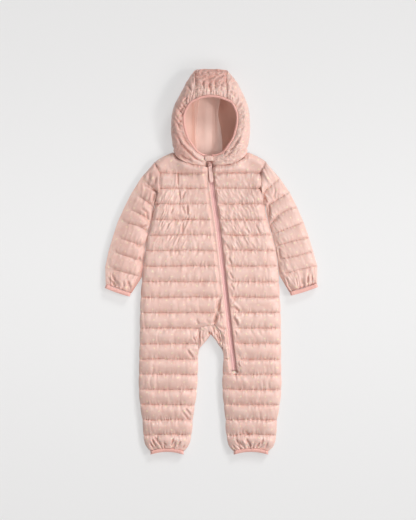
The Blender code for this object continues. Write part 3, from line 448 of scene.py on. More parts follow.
def inner_x(y: Array, side: Side) -> Array:
    """Inner edge of a front below the zip's slant: rise seam, gusset seam, then inner leg."""
    y = np.asarray(y, dtype=float)
    gap = side.value * SEAM_GAP / 2
    seam = GUSSET_SEAM_LEFT if side is Side.LEFT else GUSSET_SEAM_RIGHT
    leg = leg_x(y, side)
    tip = seam[-1][1] + gap
    held = np.maximum(leg, tip) if side is Side.LEFT else np.minimum(leg, tip)
    lower = np.where(y < GUSSET_TIP_END, leg, held)
    middle = np.where(y > seam[-1][0], line(seam, y) + gap, lower)
    return np.where(y > RISE_SEAM[-1][0], line(RISE_SEAM, y) + gap, middle)


def hem_arch(x: Array, y: Array, side: Side, rise: float) -> Array:
    """Lifts the middle of a hem, as the elastic draws it up: a parabola that fades up the leg.

    The last of the cloth is drawn up a little more, to leave the binding its width.
    """
    outer, inner = side_x(HEM_Y, side), leg_x(HEM_Y, side)
    across = np.clip((x - outer) / (inner - outer), 0, 1)
    tuck = HEM_TUCK * np.clip(1 - (y - HEM_Y) / 16, 0, 1)
    return y + tuck + rise * 4 * across * (1 - across) * smooth(1 - (y - HEM_Y) / 60)


def quilt_lines() -> Array:
    """Heights of the quilt lines, from below the neck down to the hem."""
    torso = QUILT_TOP_Y - TORSO_PITCH * np.arange(TORSO_CHANNELS + 1)
    legs = torso[-1] - LEG_PITCH * np.arange(1, LEG_CHANNELS + 1)
    return np.concatenate([torso, legs])


QUILT_LINES = quilt_lines()


# Meshes


@dataclass
class Surface:
    """A mesh being made: points in millimetres, faces, the flat cloth's own coordinates, and any
    painted shade at each point.
    """

    points: Array
    faces: Array
    cloth: Array
    hollow: Array | None = None

    def outward(self) -> "Surface":
        """Turns the faces of a closed surface outwards, by the sign of its volume."""
        a, b, c, d = (self.points[self.faces[:, k]] for k in range(4))
        volume = sum(np.einsum("ij,ij->", a, np.cross(p, q)) for p, q in ((b, c), (c, d)))
        if volume < 0:
            self.faces = self.faces[:, ::-1]
        return self


def grid_faces(rows: int, columns: int, wrap: bool = False) -> Array:
    """Quads of a grid of points in row order; wrap joins the last column to the first."""
    index = np.arange(rows * columns).reshape(rows, columns)
    if wrap:
        index = np.concatenate([index, index[:, :1]], axis=1)
    corners = (index[:-1, :-1], index[:-1, 1:], index[1:, 1:], index[1:, :-1])
    return np.stack(corners, axis=-1).reshape(-1, 4)


def open_edges(faces: Array) -> Array:
    """Directed edges that only one face uses, each as a pair of point numbers."""
    count = int(faces.max()) + 1
    edges = np.concatenate([faces[:, [k, (k + 1) % 4]] for k in range(4)])
    edges = edges[edges[:, 0] != edges[:, 1]]
    keys, mates = edges[:, 0] * count + edges[:, 1], edges[:, 1] * count + edges[:, 0]
    return edges[~np.isin(keys, mates)]


def level_rows(x: Array, y: Array) -> Array:
    """Grid in plan with level rows, from x of each point and y of each row."""
    return np.dstack([x, np.repeat(y[:, None], x.shape[1], axis=1)])


def join(grids: list[Array]) -> tuple[Array, Array]:
    """Joins grids in plan into one sheet, merging points closer than a hundredth of a millimetre.

    Args:
        grids: Points of each grid, rows by columns by x and y.

    Returns:
        The points and the quads.
    """
    points = np.concatenate([grid.reshape(-1, 2) for grid in grids])
    faces, start = [], 0
    for grid in grids:
        faces.append(grid_faces(*grid.shape[:2]) + start)
        start += grid.shape[0] * grid.shape[1]
    keys = np.round(points * 100).astype(np.int64)
    _, first, index = np.unique(keys, axis=0, return_index=True, return_inverse=True)
    return points[first], index.reshape(-1)[np.concatenate(faces)]


def padded_shell(plan: Array, faces: Array, top: Array, under: Array) -> Surface:
    """Closed shell between two heights over a plan, with walls along its open edges.

    Args:
        plan: Points in plan.
        faces: Quads over the plan.
        top: Points of the upper side, in space.
        under: Points of the lower side, in space.

    Returns:
        The closed surface.
    """
    count = len(plan)
    edges = open_edges(faces)
    start, end = edges.T
    walls = np.stack([end, start, start + count, end + count], axis=1)
    shell = np.concatenate([faces, faces[:, ::-1] + count, walls])
    return Surface(np.concatenate([top, under]), shell, np.concatenate([plan, plan])).outward()


def grid_shell(plan: Array, upper: Array, lower: Array) -> Surface:
    """Closed shell between two grids of points that share a plan."""
    faces = grid_faces(*plan.shape[:2])
    return padded_shell(plan.reshape(-1, 2), faces, upper.reshape(-1, 3), lower.reshape(-1, 3))


def flat_tube(
    plan: Array, top: Array, low: Array, slit: Pair, narrowing: float, cloth: Array
) -> Surface:
    """Tube that lies flat: an upper and a lower side, round a flat slit.

    The outer wall's points come first, row by row, over the top and back underneath.

    Args:
        plan: Points in plan, rows along the tube by columns across it.
        top: Heights of the upper side.
        low: Heights of the lower side.
        slit: Heights of the slit's floor and ceiling.
        narrowing: Share by which the slit is drawn in.
        cloth: The outer wall's cloth coordinates, one row for each point.

    Returns:
        The closed surface.
    """
    inset = plan + (plan.mean(axis=1, keepdims=True) - plan) * narrowing
    floor, ceiling = (np.full(top.shape, height) for height in slit)
    walls = [
        np.concatenate([np.dstack([over, a]), np.dstack([over, b])[:, ::-1]], axis=1)
        for over, a, b in ((plan, top, low), (inset, ceiling, floor))
    ]
    rows, around = walls[0].shape[:2]
    offset, last = rows * around, (rows - 1) * around
    outer = grid_faces(rows, around, wrap=True)
    k = np.arange(around)
    n = (k + 1) % around
    start = np.stack([k, k + offset, n + offset, n], axis=1)
    end = np.stack([last + n, last + n + offset, last + k + offset, last + k], axis=1)
    faces = np.concatenate([outer, outer[:, ::-1] + offset, start, end])
    points = np.concatenate(walls).reshape(-1, 3)
    return Surface(points, faces, np.concatenate([cloth, cloth])).outward()


def block(size: Triple) -> Array:
    """Corners of a small block with a narrower top, from its length, width and height."""
    low = [(-1, -1, 0), (1, -1, 0), (1, 1, 0), (-1, 1, 0)]
    corner = np.array(low + [(0.7 * a, 0.5 * b, 1) for a, b, _ in low])
    return corner * (size[0] / 2, size[1] / 2, size[2])


def block_faces(count: int) -> Array:
    """Quads of a run of blocks."""
    quads = [(3, 2, 1, 0), (4, 5, 6, 7), (0, 1, 5, 4), (1, 2, 6, 5), (2, 3, 7, 6), (3, 0, 4, 7)]
    return (np.array(quads) + (np.arange(count) * 8)[:, None, None]).reshape(-1, 4)


def link_object(name: str, data: bpy.types.ID) -> bpy.types.Object:
    """Makes an object and puts it in the scene."""
    held = bpy.data.objects.new(name, data)
    bpy.context.scene.collection.objects.link(held)
    return held


def make_piece(
    name: str,
    surface: Surface,
    finish: Material,
    replaces: tuple[str, ...] = (),
    body: str = BODY,
) -> bpy.types.Object:
    """Puts a surface into a mesh and hangs it on its body.

    Args:
        name: Name of the piece.
        surface: Points and faces.
        finish: Material.
        replaces: Solids that the piece stands for.
        body: Body that it rides on.

    Returns:
        The object.
    """
    mesh = bpy.data.meshes.new(name)
    faces = surface.faces
    size = faces.shape[1]
    mesh.vertices.add(len(surface.points))
    mesh.vertices.foreach_set("co", (surface.points * MM).astype(np.float32).ravel())
    mesh.loops.add(faces.size)
    mesh.loops.foreach_set("vertex_index", faces.astype(np.int32).ravel())
    mesh.polygons.add(len(faces))
    mesh.polygons.foreach_set("loop_start", np.arange(0, faces.size, size, dtype=np.int32))
    mesh.update(calc_edges=True)
    layer = mesh.uv_layers.new(name="cloth")
    layer.data.foreach_set("uv", (surface.cloth[faces.ravel()] * MM).astype(np.float32).ravel())
    # Painted shade at each point, which the materials mix towards their darker shade colour.
    if surface.hollow is not None:
        shade = mesh.attributes.new("hollow", "FLOAT", "POINT")
        shade.data.foreach_set("value", surface.hollow.astype(np.float32))
    if mesh.validate():
        LOG.info("%s had faulty faces", name)
    mesh.shade_smooth()
    mesh.materials.append(finish)
    made = link_object(name, mesh)
    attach(made, body)
    if replaces:
        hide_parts(*replaces)
    LOG.info("%s: %d faces", name, len(faces))
    return made


def steps_between(count: int, gather: float) -> Array:
    """Shares from 0 to 1, even or, as gather goes to 1, closer at both ends."""
    t = np.linspace(0, 1, count + 1)
    return (1 - gather) * t + gather * (1 - np.cos(math.pi * t)) / 2


def body_rows(count: int) -> Array:
    """Heights of a body panel's rows, from the first quilt line to the hem, closer at the lines."""
    lines = np.append(QUILT_LINES, HEM_Y)
    shares = steps_between(count, 0.45)[:-1]
    rows = [upper + (lower - upper) * shares for upper, lower in zip(lines, lines[1:])]
    return np.concatenate(rows + [[HEM_Y]])


def yoke(first: Array, side: Side, inner: float, up: Array, neck: Table, end: int = 0) -> Array:
    """Grid from the neck and shoulder down to the first quilt line.

    Each column runs straight from its place on the edge to its place on the line, and the outer
    ones slide onto the armhole seam.

    Args:
        first: Places along the first quilt line, in x.
        side: Side of the wearer.
        inner: Inner end of the neck seam, in x.
        up: Share of the way up of each row, from 1 to 0.
        neck: Shoulder line and neck seam.
        end: Column at the armhole, the first or the last.

    Returns:
        The grid, rows by columns by x and y.
    """
    cells = len(first) - 1
    corner = HOOD_AXIS_X + side.value * NECK_CORNER
    outer = spline(ARMHOLE, ARMHOLE[0][0], side.column)
    turn = round(0.3 * cells) / cells
    edge = np.interp(np.linspace(0, 1, cells + 1), [0, turn, 1], [outer, corner, inner])
    if end:
        edge = edge[::-1]
    x = first + (edge - first) * up[:, None]
    y = QUILT_LINES[0] + (neck_y(edge, neck) - SEAM_GAP / 2 - QUILT_LINES[0]) * up[:, None]
    shift = armhole_x(y[:, end], side) - side.value * SEAM_GAP / 2 - x[:, end]
    span = np.abs(x[:, -1] - x[:, 0])[:, None]
    x = x + shift[:, None] * np.maximum(0, 1 - 1.6 * np.abs(x - x[:, end, None]) / span)
    return np.dstack([x, y])


# Finishes


class Nodes:
    """Short hand for building a material's nodes."""

    def __init__(self, name: str) -> None:
        """Makes an empty material with a shader."""
        self.material = bpy.data.materials.new(name)
        self.material.use_nodes = True
        self.tree = self.material.node_tree
        self.shader = self.tree.nodes["Principled BSDF"]

    def feed(self, node: bpy.types.Node, inputs: dict[str | int, object]) -> None:
        """Joins inputs of a node to sockets, or sets plain values on them."""
        for key, value in inputs.items():
            if isinstance(value, Socket):
                self.tree.links.new(value, node.inputs[key])
            else:
                node.inputs[key].default_value = value

    def finish(self, **inputs: object) -> Material:
        """Feeds the shader's inputs, each named with _ for its spaces, and returns the material."""
        self.feed(self.shader, {name.replace("_", " "): value for name, value in inputs.items()})
        return self.material

    def add(self, kind: str, inputs: dict[str | int, object], **settings: object) -> bpy.types.Node:
        """Adds a node, sets its properties and feeds its inputs."""
        node = self.tree.nodes.new(kind)
        for key, value in settings.items():
            setattr(node, key, value)
        self.feed(node, inputs)
        return node

    def math(self, operation: str, a: object, b: object = 0.0, clamp: bool = False) -> Socket:
        """Adds a math node and returns its result."""
        node = self.add("ShaderNodeMath", {0: a, 1: b}, operation=operation, use_clamp=clamp)
        return node.outputs[0]

    def mix(self, share: Socket, a: Socket | Triple, b: Triple) -> Socket:
        """Mixes two colours, the first of which may come from a socket."""
        inputs = {0: share, 6: a if isinstance(a, Socket) else rgba(a), 7: rgba(b)}
        return self.add("ShaderNodeMix", inputs, data_type="RGBA").outputs[2]

    def cloth(self) -> Socket:
        """The flat cloth's own coordinates, in metres."""
        return self.add("ShaderNodeUVMap", {}, uv_map="cloth").outputs[0]

    def hollow(self) -> Socket:
        """Painted shade at each point, 0 to 1."""
        return self.add("ShaderNodeAttribute", {}, attribute_name="hollow").outputs["Fac"]

    def noise(
        self, vector: Socket, scale: float, detail: float = 2.0, output: str = "Fac"
    ) -> Socket:
        """Noise at a scale in cells a metre."""
        inputs = {"Vector": vector, "Scale": scale, "Detail": detail}
        return self.add("ShaderNodeTexNoise", inputs).outputs[output]

    def weave(self, vector: Socket, scale: float) -> Socket:
        """Fine diagonal bands of a weave."""
        bands = {"wave_type": "BANDS", "bands_direction": "DIAGONAL"}
        node = self.add("ShaderNodeTexWave", {"Vector": vector, "Scale": scale}, **bands)
        return node.outputs["Fac"]

    def bump(self, height: Socket, strength: float, distance: float, **normal: Socket) -> Socket:
        """Bump from a height, over another normal if there is one."""
        inputs = {"Strength": strength, "Distance": distance, "Height": height, **normal}
        return self.add("ShaderNodeBump", inputs).outputs["Normal"]


def rgba(colour: Triple) -> tuple[float, float, float, float]:
    """Adds full alpha to a colour."""
    return (*colour, 1)


@dataclass(frozen=True)
class PrintedShell:
    """Satin nylon shell in pink with a small staggered repeat of cream dots, mixed towards a shade
    colour where shade is painted.
    """

    name: str = "printed_shell"
    colour: Triple = (0.807, 0.585, 0.520)
    deep: Triple = (0.754, 0.498, 0.433)
    # Colour of the painted shade in grooves, creases and on faces turned from the light.
    groove: Triple = (0.62, 0.31, 0.255)
    dot: Triple = (0.94, 0.85, 0.56)
    pitch: Pair = (0.026, 0.0101)
    dot_radius: float = 0.0025
    stray: float = 0.011
    roughness: float = 0.38
    glow: float = 0.2

    def make(self) -> Material:
        """Builds the material from cloth coordinates, so that the print follows each panel."""
        n = Nodes(self.name)
        cloth = n.cloth()
        drift = n.noise(cloth, 70, output="Color")
        stray = {0: drift, 1: (self.stray, self.stray, 0), 2: cloth}
        moved = n.add("ShaderNodeVectorMath", stray, operation="MULTIPLY_ADD")
        split = n.add("ShaderNodeSeparateXYZ", {0: moved.outputs[0]})
        row = n.math("DIVIDE", split.outputs[1], self.pitch[1])
        shift = n.math("MULTIPLY", n.math("FLOOR", row), 0.5)
        column = n.math("ADD", n.math("DIVIDE", split.outputs[0], self.pitch[0]), shift)
        squares = []
        for place, pitch in zip((column, row), self.pitch):
            off = n.math("MULTIPLY", n.math("SUBTRACT", n.math("FRACT", place), 0.5), pitch)
            squares.append(n.math("MULTIPLY", off, off))
        edge = n.math("SUBTRACT", self.dot_radius, n.math("SQRT", n.math("ADD", *squares)))
        dots = n.math("MULTIPLY", edge, 1.5 / self.dot_radius, clamp=True)
        strength = n.math("SUBTRACT", n.noise(cloth, 75), 0.12)
        dots = n.math("MULTIPLY", dots, n.math("MULTIPLY", strength, 1.9, clamp=True))
        tone = n.mix(n.noise(cloth, 22, 3), self.deep, self.colour)
        printed = n.mix(n.math("MULTIPLY", dots, 0.62), tone, self.dot)
        woven = n.bump(n.weave(cloth, 900), 0.05, 0.0001)
        return n.finish(
            # Painted shade: the colour mixes towards the shade colour by the painted shade at each
            # point.
            Base_Color=n.mix(n.hollow(), printed, self.groove),
            Roughness=self.roughness,
            Subsurface_Weight=self.glow,
            Subsurface_Radius=(1, 0.4, 0.3),
            Subsurface_Scale=0.004,
            Sheen_Weight=0.12,
            Sheen_Roughness=0.4,
            Normal=n.bump(n.noise(cloth, 260, 3), 0.25, 0.0012, Normal=woven),
        )


@dataclass(frozen=True)
class PlainCloth:
    """Plain woven cloth: a lining or a tape."""

    name: str
    colour: Triple
    roughness: float = 0.6
    sheen: float = 0.25
    thread: float = 0.0005
    # Colour of the painted shade.
    groove: Triple = (0.54, 0.205, 0.125)

    def make(self) -> Material:
        """Builds the material with a fine weave and slow changes of tone, darker where shade is
        painted.
        """
        n = Nodes(self.name)
        cloth = n.cloth()
        tone = n.mix(n.noise(cloth, 60, 3), tuple(c * 0.9 for c in self.colour), self.colour)
        return n.finish(
            Base_Color=n.mix(n.hollow(), tone, self.groove),
            Roughness=self.roughness,
            Sheen_Weight=self.sheen,
            Normal=n.bump(n.weave(cloth, 0.3 / self.thread), 0.15, 0.0002),
        )


@dataclass(frozen=True)
class PaintedMetal:
    """Metal painted to match the cloth, worn a little."""

    name: str = "painted_metal"
    colour: Triple = (0.93, 0.60, 0.54)

    def make(self) -> Material:
        """Builds the material with a slightly uneven coat."""
        n = Nodes(self.name)
        place = n.add("ShaderNodeTexCoord", {}).outputs["Object"]
        worn = tuple(c * 0.88 for c in self.colour)
        return n.finish(
            Base_Color=n.mix(n.noise(place, 400), worn, self.colour),
            Roughness=0.3,
            Normal=n.bump(n.noise(place, 1500), 0.1, 0.0002),
        )


class Finishes:
    """All the garment's materials, made once."""

    def __init__(self) -> None:
        """Makes each material."""
        self.shell = PrintedShell().make()
        self.lining = PlainCloth("soft_lining", (0.86, 0.61, 0.53), 0.7, 0.3).make()
        self.binding = PlainCloth("elastic_trim", (0.86, 0.47, 0.41), 0.5, 0.25, 0.0008).make()
        self.tape = PlainCloth("woven_tape", (0.84, 0.50, 0.48), 0.5, 0.2, 0.0006).make()
        self.thread = PlainCloth("seam_thread", (0.84, 0.50, 0.43), 0.5, 0.1, 0.0003).make()
        self.grip = PaintedMetal("pull_grip_coat", (0.95, 0.66, 0.60)).make()
        self.metal = PaintedMetal().make()


# Thread


@dataclass
class Stitching:
    """Thread along the seams: one small raised stitch a pitch, all joined in one mesh."""

    pitch: float = 3.0
    size: Triple = (2.2, 0.55, 0.4)
    sink: float = 0.1
    routes: list[Array] = field(default_factory=list)

    def build(self, finishes: Finishes) -> None:
        """Builds every stitch: a small block with a narrower top, turned along its seam."""
        stitch = block(self.size) - (0, 0, self.sink)
        shifts = np.array((-0.5, 0, 0.5)) * self.size[0]
        points = []
        for route in self.routes:
            length = length_along(route)
            at = (np.arange(int(length[-1] / self.pitch)) + 0.5) * self.pitch
            start, middle, end = (read_along(at + shift, length, route) for shift in shifts)
            along = unit(end - start)
            out = unit(np.stack([-along[:, 1], along[:, 0], 0 * along[:, 0]], axis=1))
            frame = np.stack([along, out, np.cross(along, out)], axis=1)
            points.append(middle[:, None] + stitch @ frame)
        points = np.concatenate(points).reshape(-1, 3)
        surface = Surface(points, block_faces(len(points) // 8), points[:, :2])
        make_piece("seam_stitches", surface, finishes.thread)


# Quilted body


@dataclass
class Quilting:
    """Height of the quilted cloth over one side of the body, from its stitch lines and folds."""

    side: Side
    creases: tuple[Crease, ...] = ()
    valley: float = 13.6
    crest: float = 23.0
    # Width and strength of the painted shade along the stitch lines.
    groove_width: float = 1.5
    groove_tone: float = 0.5
    neck: float = 17.5
    neck_rise: float = 7.6
    chest_swell: float = 3.3
    gusset_seam: float = 18.6
    zip_fold_left: float = 18.2
    zip_fold_low: float = 3.0
    zip_fold_right: float = 17.6
    zip_edge: float = 14.0
    edge: float = 11.4
    curl: float = 24.0
    sleeve_curl: float = 11.0
    crown: float = 70.0
    crown_fall: float = 2.6
    hem_top: float = 15.0
    hem_fade: float = 26.0
    last_channel: float = 14.0
    wobble: float = 0.9
    scallop_depth: float = 1.5

    def waver(self, x: Array, y: Array) -> Array:
        """How far the stitch lines wander from level, which fades at the neck."""
        wave = self.wobble * noise(x / 38, y / 30, 11) + 0.45 * noise(x / 8, y / 20, 13)
        return wave * smooth((neck_y(x) - y) / 20)

    def place(self, x: Array, y: Array) -> tuple[Array, Array]:
        """Finds each point's channel.

        Returns:
            Share of the way down the channel, and distance to the nearest stitch line.
        """
        y = y + self.waver(x, y)
        lines = np.append(QUILT_LINES, HEM_Y - self.last_channel)
        index = np.clip(np.searchsorted(-lines, -y), 0, len(lines) - 1)
        lower = lines[index]
        upper = np.where(index == 0, neck_y(x), lines[np.maximum(index - 1, 0)])
        t = np.clip((upper - y) / np.maximum(upper - lower, 1e-6), 0, 1)
        return t, np.minimum(upper - y, y - lower)

    def seam_distance(self, x: Array, y: Array) -> Array:
        """Distance from a front's nearest topstitched seam: the zip or the rise."""
        zip_away = np.abs(x - zip_x(y)) - ZIP_EDGE
        zip_away = np.where(y > ZIP_BOTTOM_Y - PLAIN_STRIP, zip_away, FAR)
        zip_away = np.where(x > zip_x(y), zip_away + PLAIN_STRIP / 2, zip_away)
        on_rise = (y < RISE_SEAM[0][0]) & (y > RISE_SEAM[-1][0])
        rise_away = np.where(on_rise, np.abs(inner_x(y, self.side) - x) + 2, FAR)
        return np.minimum(zip_away, rise_away)

    def arm_distance(self, x: Array, y: Array) -> Array:
        """Distance from the armhole seam."""
        return np.where(y > UNDERARM_Y - 4, np.abs(armhole_x(y, self.side) - x), FAR)

    def edge_distance(self, x: Array, y: Array) -> Array:
        """Distance in from the nearest folded edge: side seam, inner leg or shoulder line."""
        above = np.maximum(0, y - UNDERARM_Y) * 1.2
        outer = np.abs(side_x(np.minimum(y, UNDERARM_Y), self.side) - x) + above
        out = np.abs(x - HOOD_AXIS_X)
        to_corner = np.hypot(NECK_CORNER - out, NECK_CORNER_Y - y)
        shoulder = 0.9 * np.where(out > NECK_CORNER, neck_y(x) - y, to_corner)
        below = GUSSET[0][1] - 2
        inner = np.abs(leg_x(y, self.side) - x) + 10 * smooth(1 - (below - y) / 14)
        inner = np.where(y < below, inner, FAR)
        return np.minimum(np.minimum(outer, shoulder), inner + 1)

    def puckers(self, x: Array, y: Array, line_away: Array, seam_away: Array) -> Array:
        """Folds of the shell cloth: short ones at the stitch lines and slanted ones on the chest.

        Each field of folds is weighted by where such folds gather.
        """

        def folds(heading: float, spacing: float, run: float, seed: int) -> Array:
            """Height of one field of folds here."""
            return Folds(heading, spacing, run, seed).at(x, y)

        left = self.side is Side.LEFT
        belly = patch(x, y, (0, -30), (200, 130))
        upright = folds(86, 4.3, 13, 21) * bell(line_away, 8.5) * (1.3 + 0.6 * belly)
        nips = folds(90, 3.3, 7, 27) * bell(line_away, 3) * 1.4
        rising = folds(62, 4, 20, 33) * 1.9 + folds(70, 3, 10, 35) * 0.7
        falling = folds(122, 3.9, 17, 47) * 1.9 + folds(112, 3, 9, 49) * 0.8
        slanted = rising * patch(x, y, (-78, 88), (82, 125))
        slanted += falling * patch(x, y, (68, 88), (80, 120))
        beside_zip = folds(136 if left else 50, 4.3, 14, 59)
        beside_zip = beside_zip * bell(np.maximum(seam_away - 5, 0), 8)
        beside_zip = (2.5 if left else 1.6) * beside_zip * (y > -240)
        return upright + nips + slanted + beside_zip + folds(96, 13, 30, 71) * 0.9

    def scallop(self, x: Array, y: Array) -> Array:
        """Sideways pull of the stitch lines on the folded edges, which fades inwards."""
        loft = loft_of(self.place(x, y)[0])
        outer = bell(np.abs(x - side_x(y, self.side)), 9) * smooth((-28 - y) / 16)
        inner = bell(np.abs(x - leg_x(y, self.side)), 9) * smooth((GUSSET_TIP_END - y) / 12)
        return self.side.value * self.scallop_depth * (loft - 0.75) * (outer - inner)

    def gathers(self, x: Array, y: Array) -> Array:
        """Pleats that the elastic draws up at the hem, fanning out from its middle."""
        outer, inner = side_x(y, self.side), leg_x(y, self.side)
        above = y - HEM_Y
        across = 0.5 + ((x - outer) / (inner - outer) - 0.5) / (1 + 0.01 * above)
        near = smooth(1 - above / self.hem_fade)
        column = self.side.column
        uneven = across * 11 + 0.4 * noise(across * 7, above / 30, 83 + column)
        pleat = np.abs(noise(uneven * 1.1, above / 60, 91 + column))
        return near * (5.6 * np.sqrt(pleat + 0.01) - 2.4)

    def hollow(self, x: Array, y: Array) -> Array:
        """Painted shade, 0 to 1: along the stitch lines, in the troughs of folds and creases, and
        along the armhole seam.
        """
        line_away = self.place(x, y)[1]
        seam_away = self.seam_distance(x, y)
        open_cloth = smooth((seam_away - PLAIN_STRIP * 0.6) / 4)
        uneven = 0.75 + 0.45 * noise(x / 5, y / 16, 37)
        shade_amount = bell(line_away, self.groove_width) * uneven * (0.25 + 0.75 * open_cloth)
        low = np.maximum(0.35 - self.puckers(x, y, line_away, seam_away), 0)
        shade_amount += 0.30 * low
        for crease in self.creases:
            shade_amount = np.maximum(shade_amount, -0.26 * crease.at(x, y))
        arm = 0.35 * smooth((216 - y) / 30) * bell(self.arm_distance(x, y), 1.4)
        return np.clip(self.groove_tone * np.maximum(shade_amount, arm), 0, 1)

    def top(self, x: Array, y: Array) -> Array:
        """Outer height of a front.

        A channel's loft is a flattened arch between its stitch lines. It fades beside topstitched
        seams, and the whole rounds down to the folded edges.
        """
        t, line_away = self.place(x, y)
        seam_away = self.seam_distance(x, y)
        skew = 0.16 * smooth((y + 40) / 200) - 0.2 * smooth((-110 - y) / 120)
        loft = loft_of(np.clip(t - skew * 2 * t * (1 - t), 0, 1))
        start, full = (0.3, 0.75) if self.side is Side.LEFT else (0.6, 1.2)
        fade = smooth((seam_away / PLAIN_STRIP - start) / full)
        plump = 1 + 0.1 * noise(x / 34, y / 16, 5)
        height = self.valley + (self.crest - self.valley) * loft * fade * plump
        height += self.puckers(x, y, line_away, seam_away) * (0.35 + 0.65 * fade)
        for crease in self.creases:
            height += crease.at(x, y)
        height += self.chest_swell * patch(x, y, (self.side.value * 106, 128), (44, 100))
        dip = 1.8 + 0.8 * smooth((212 - y) / 36)
        height -= dip * bell(self.arm_distance(x, y), 3)
        gusset_away = route_distance(x, y, np.array(GUSSET)[:, 2:])[0]
        height += (self.gusset_seam - height) * bell(gusset_away, 5)
        out = np.abs(x - HOOD_AXIS_X)
        neck = self.neck + self.neck_rise * smooth((76 - out) / 22) * smooth((out - 3) / 8)
        height += (neck - self.valley) * smooth(1 - (neck_y(x) - y) / 30)
        height = self.beside_zip(x, y, height)
        hem = 0.35 + 0.65 * smooth((y - HEM_Y) / self.hem_fade)
        height = self.hem_top + (height - self.hem_top) * hem + self.gathers(x, y)
        edge_away = self.edge_distance(x, y)
        height -= self.crown_fall * (1 - np.clip(edge_away / self.crown, 0, 1)) ** 2
        beside_sleeve = smooth((y + 60) / 40) if self.side is Side.RIGHT else 0
        curl = self.curl + (self.sleeve_curl - self.curl) * beside_sleeve
        return self.edge + (height - self.edge) * dome(edge_away, curl)

    def beside_zip(self, x: Array, y: Array, height: Array) -> Array:
        """Raises the fold beside the zip and rounds it down to the zip's edge."""
        away = np.where(y > SLIT_END_Y, np.abs(x - zip_x(y)) - ZIP_EDGE, FAR)
        on_left = x > zip_x(y)
        left_fold = self.zip_fold_left + self.zip_fold_low * smooth((110 - y) / 170)
        fold = np.where(on_left, left_fold, self.zip_fold_right)
        reach = np.where(on_left, 8.5, 7)
        height += np.maximum(fold - height, 0) * bell(away, reach)
        beside_tab = smooth((y - 158) / 10) * smooth((206 - y) / 8) * on_left
        edge = self.zip_edge + 1.8 * on_left + 2.4 * beside_tab
        return edge + (height - edge) * dome(away + 0.3, 2.4)


# Columns: width, height, then x and y of each point
RIGHT_CREASES = crease_rows(
    (1.8, -3.6, -71.5, 190, -71, 172, -71.5, 156), (2.4, 1.6, -75.5, 186, -75, 170, -75.5, 158),
    (1.8, -3.2, -68.8, 148.3, -66, 126.6), (1.8, -2.8, -55.3, 148.3, -62.5, 130.2),
    (2, -3.8, -51.8, 119.5, -49.9, 94.3), (2, 1.6, -48, 118, -46.2, 96),
    (1.9, -2.8, -62.5, 116.1, -55.3, 97.9), (1.9, -2.6, -80.5, 112.1, -87.7, 97.9),
    (2, -3.2, -60.6, 83.4, -62.5, 58.2), (1.9, -2.6, -89.6, 79.8, -94.8, 65.7),
    (1.9, -2.4, -103, 84, -108, 68), (2.2, -2.2, -68.4, 50.1, -74.4, 30.1),
    (1.8, -3.6, 6.8, -108, 8.6, -118, 6.2, -128, 3.2, -132),
    (2, -2.6, -33.5, -120.8, -27.4, -134.4), (2.2, -1.8, -14, -122, -3, -131),
    (1.7, -3.6, -39.6, -157.1, -33, -168.5), (1.6, 2.4, -37.4, -156.5, -30.6, -168.5),
    (1.7, -3.8, -35, -156.6, -28, -170.7), (1.7, -3, -27.9, -139, -28, -157, -28.5, -172),
    (2.4, -3, -52.3, -185.3, -38.3, -204.1), (2.4, 1.8, -48, -184, -35, -201),
    (2.4, -3, -57.4, -306.8, -42.9, -324.8), (2.4, -2.4, -64, -311.6, -46.9, -336),
    (2.2, 1.6, -52, -306, -40.5, -321), (2, -4.6, -125.9, -373, -117.1, -393),
    (2, -4.6, -121.5, -369, -107, -391.5), (1.9, -4.2, -130.3, -379.6, -122, -397.5),
    (2, -3.2, -114.1, -364.6, -115.6, -379.8), (1.9, -3.8, -101, -383.5, -95.2, -394.9),
    (2, -4.6, -80.7, -373.9, -85.9, -394.9), (1.8, -3.8, -76.5, -380, -80, -394),
    (2, -4, -65, -378.6, -72.9, -393.4), (1.9, -3.2, -57, -384, -62, -396),
    (1.8, 2.2, -118, -374, -110.5, -388),
)
LEFT_CREASES = crease_rows(
    (2, -2.8, 29.9, 36.3, 36.2, 23.7), (2.1, -3.2, 34.1, 6.9, 41.5, -5.7),
    (2.2, -3.4, 36.2, -22.5, 44.6, -37.2), (2.2, -3.4, 37.3, -45.6, 46.7, -60.3),
    (2.2, -3.4, 39.4, -70.8, 48.8, -83.4), (2.5, -4.4, 40.8, -94.9, 49, -98, 59.1, -105.6),
    (2.4, 2.2, 42, -89.5, 50, -92.5, 59, -99.5),
    (2.3, -4.4, 40.8, -116.1, 49.9, -125.2, 54.5, -137.3),
    (2.4, 2.2, 47, -113, 55, -121, 59.5, -133), (2, -3.2, 48.4, -146, 51.5, -156),
    (2.2, -3.8, 46.9, -166.8, 56, -173.2), (2.1, -3.2, 50.9, -190.5, 59.3, -201),
    (2.1, -3.2, 52, -211.5, 59.3, -220), (2, -2.4, 48.6, -233.9, 52.2, -250.1),
    (2.2, -2.8, 90.4, 78.2, 100.5, 58.1), (1.8, -3.6, 6.8, -108, 8.6, -118, 6.2, -128, 3.2, -132),
    (2.2, -2.2, 17.5, -104, 16, -128), (2, -2.6, 23.5, -128, 25.5, -152),
    (1.8, -3.2, 21.5, -159.2, 24.3, -174.2), (2, -1.8, 29.5, -150, 31.5, -176),
    (2, -4.6, 50.5, -373.9, 59.8, -393), (2, -4.8, 56.4, -379.6, 67.2, -398.3),
    (2.1, -4.8, 71.1, -373.9, 83.2, -398.3), (2.2, -3.4, 69.6, -356, 79.7, -369.6),
    (1.8, -4.2, 43.4, -385.5, 51, -399.2), (2, -4.4, 100.9, -383.5, 93.8, -397.3),
    (2, -4, 108, -373.9, 102, -390.5), (1.9, -3.4, 117, -380, 112, -395),
    (1.8, 2.2, 63.5, -376, 72, -391),
)


